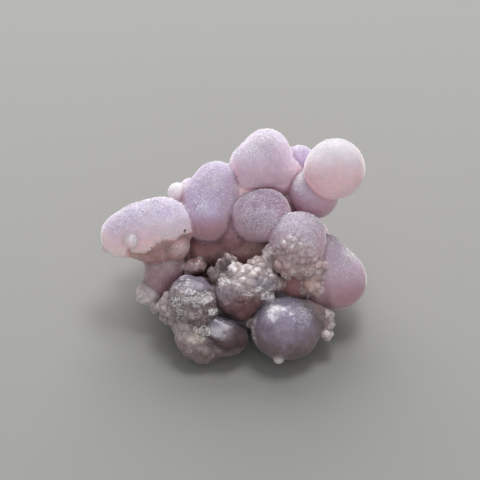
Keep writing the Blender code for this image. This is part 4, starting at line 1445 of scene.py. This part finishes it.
class MakeFrost(Operator):
    """Scatter tiny crystals over the frosted lobes"""

    bl_idname = "chalcedony.make_frost"
    bl_label = "Frost grains"

    def execute(self, context):
        """Build two coats of joined frost grains, more of them where the frost lies in
        patches: a fine even one and a coarser one on the most frosted places."""
        sizes, skin = context.scene.stone_sizes, finished_skin()
        draw = np.random.default_rng(11)
        count = sizes.frost_count
        points = points_of(skin.data)
        thick = smooth(-0.5, 0.5, 0.6 * cloud(points, 1.1) + 0.4 * cloud(points + 5.0, 0.5))
        rime = values_of(skin.data, "frost")
        material = frost_material()
        for name, power, width in (("frost_fine", 0.7, 0.65), ("frost_coarse", 1.8, 1.2)):
            found = drawn_places(skin.data, rime ** power * (0.12 + thick), count, draw)
            spread = 0.3 + 0.7 * draw.uniform(0.0, 1.0, count) ** 2.5
            size = sizes.frost_width / MM * width * spread
            frost = scattered(name, skin, grain_shape(), found, size,
                              draw.uniform(0.6, 1.2, count), 0.45, draw)
            frost.data.materials.append(material)
            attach(frost, BODY)
        return {"FINISHED"}


def area_light(name, place, size, power, colour):
    """A square light at a place, facing the stone, in metres and watts."""
    data = bpy.data.lights.new(name, "AREA")
    data.shape = "SQUARE"
    data.size = size
    data.energy = power
    data.color = colour
    light = linked(name, data)
    light.location = place
    light.rotation_euler = (LIGHT_AIM - Vector(place)).to_track_quat("-Z", "Y").to_euler()


class MakeStage(Operator):
    """Lay the floor, hang the lights and set up the camera"""

    bl_idname = "chalcedony.make_stage"
    bl_label = "Floor, lights and camera"

    def execute(self, context):
        """Build everything that is not part of the stone."""
        stage = context.scene.stage_settings
        self.floor(stage)
        self.sky(context.scene, stage)
        area_light("key light", (-0.03, 0.30, 0.17), 0.32, stage.key_power, (1.0, 0.99, 0.98))
        area_light("softbox", (0.06, 0.13, 0.42), 0.15, stage.softbox_power, (1.0, 0.99, 1.0))
        area_light("fill light", (0.04, -0.42, 0.14), 0.40, stage.fill_power, (1.0, 1.0, 1.0))
        self.camera(context.scene, stage)
        context.scene.view_settings.view_transform = "Standard"
        return {"FINISHED"}

    def floor(self, stage):
        """A wide plain floor at the resting plane."""
        corners = FLOOR_HALF * np.array(((-1.0, -1.0, 0.0), (1.0, -1.0, 0.0),
                                         (1.0, 1.0, 0.0), (-1.0, 1.0, 0.0)))
        floor = new_piece("floor", corners, np.array(((0, 1, 2, 3),)), np.empty((0, 3), int))
        material = bpy.data.materials.new("plain pale floor")
        material.use_nodes = True
        shade(material, Tree(material.node_tree), Base_Color=(*stage.floor, 1.0), Roughness=0.8)
        floor.data.materials.append(material)

    def sky(self, scene, stage):
        """Even light from all round."""
        world = bpy.data.worlds.new("soft studio")
        world.use_nodes = True
        Tree(world.node_tree).fill(world.node_tree.nodes["Background"], {
            "Color": (0.96, 0.96, 1.0, 1.0), "Strength": stage.sky_strength})
        scene.world = world

    def camera(self, scene, stage):
        """Look straight into the drawing plane from afar, with the stone's frame width."""
        data = bpy.data.cameras.new("camera")
        camera = linked("camera", data)
        near = axes_of_drawing()[2]
        camera.location = off_drawing(PICTURE_MIDDLE) * MM + near * stage.camera_distance
        camera.rotation_euler = Vector(-near).to_track_quat("-Z", "Y").to_euler()
        data.lens = data.sensor_width * stage.camera_distance / stage.frame_width
        data.clip_start = 0.01
        scene.camera = camera


class StonePanel(Panel):
    """Buttons and settings of the chalcedony specimen"""

    bl_idname = "VIEW3D_PT_chalcedony"
    bl_label = "Chalcedony specimen"
    bl_space_type = "VIEW_3D"
    bl_region_type = "UI"
    bl_category = "Chalcedony"

    def draw(self, context):
        """List the operators and the values that they read."""
        for operator in (MakeSkin, MakeDruse, MakeFrost, MakeStage):
            self.layout.operator(operator.bl_idname)
        for group in SETTINGS:
            settings = getattr(context.scene, group)
            box = self.layout.box()
            for name in settings.__annotations__:
                box.prop(settings, name)


SETTINGS = {"stone_sizes": StoneSizes, "stone_colours": StoneColours,
            "stage_settings": StageSettings}
CLASSES = (*SETTINGS.values(), MakeSkin, MakeDruse, MakeFrost, MakeStage, StonePanel)


def register():
    """Register the classes and hang the settings on the scene."""
    for item in CLASSES:
        bpy.utils.register_class(item)
    for name, group in SETTINGS.items():
        setattr(bpy.types.Scene, name, PointerProperty(type=group))


def unregister():
    """Take the settings and the classes away again."""
    for name in SETTINGS:
        delattr(bpy.types.Scene, name)
    for item in reversed(CLASSES):
        bpy.utils.unregister_class(item)


def main():
    """Build the stone and its stage."""
    register()
    bpy.ops.chalcedony.make_skin()
    bpy.ops.chalcedony.make_druse()
    bpy.ops.chalcedony.make_frost()
    bpy.ops.chalcedony.make_stage()


if __name__ == "__main__":
    main()
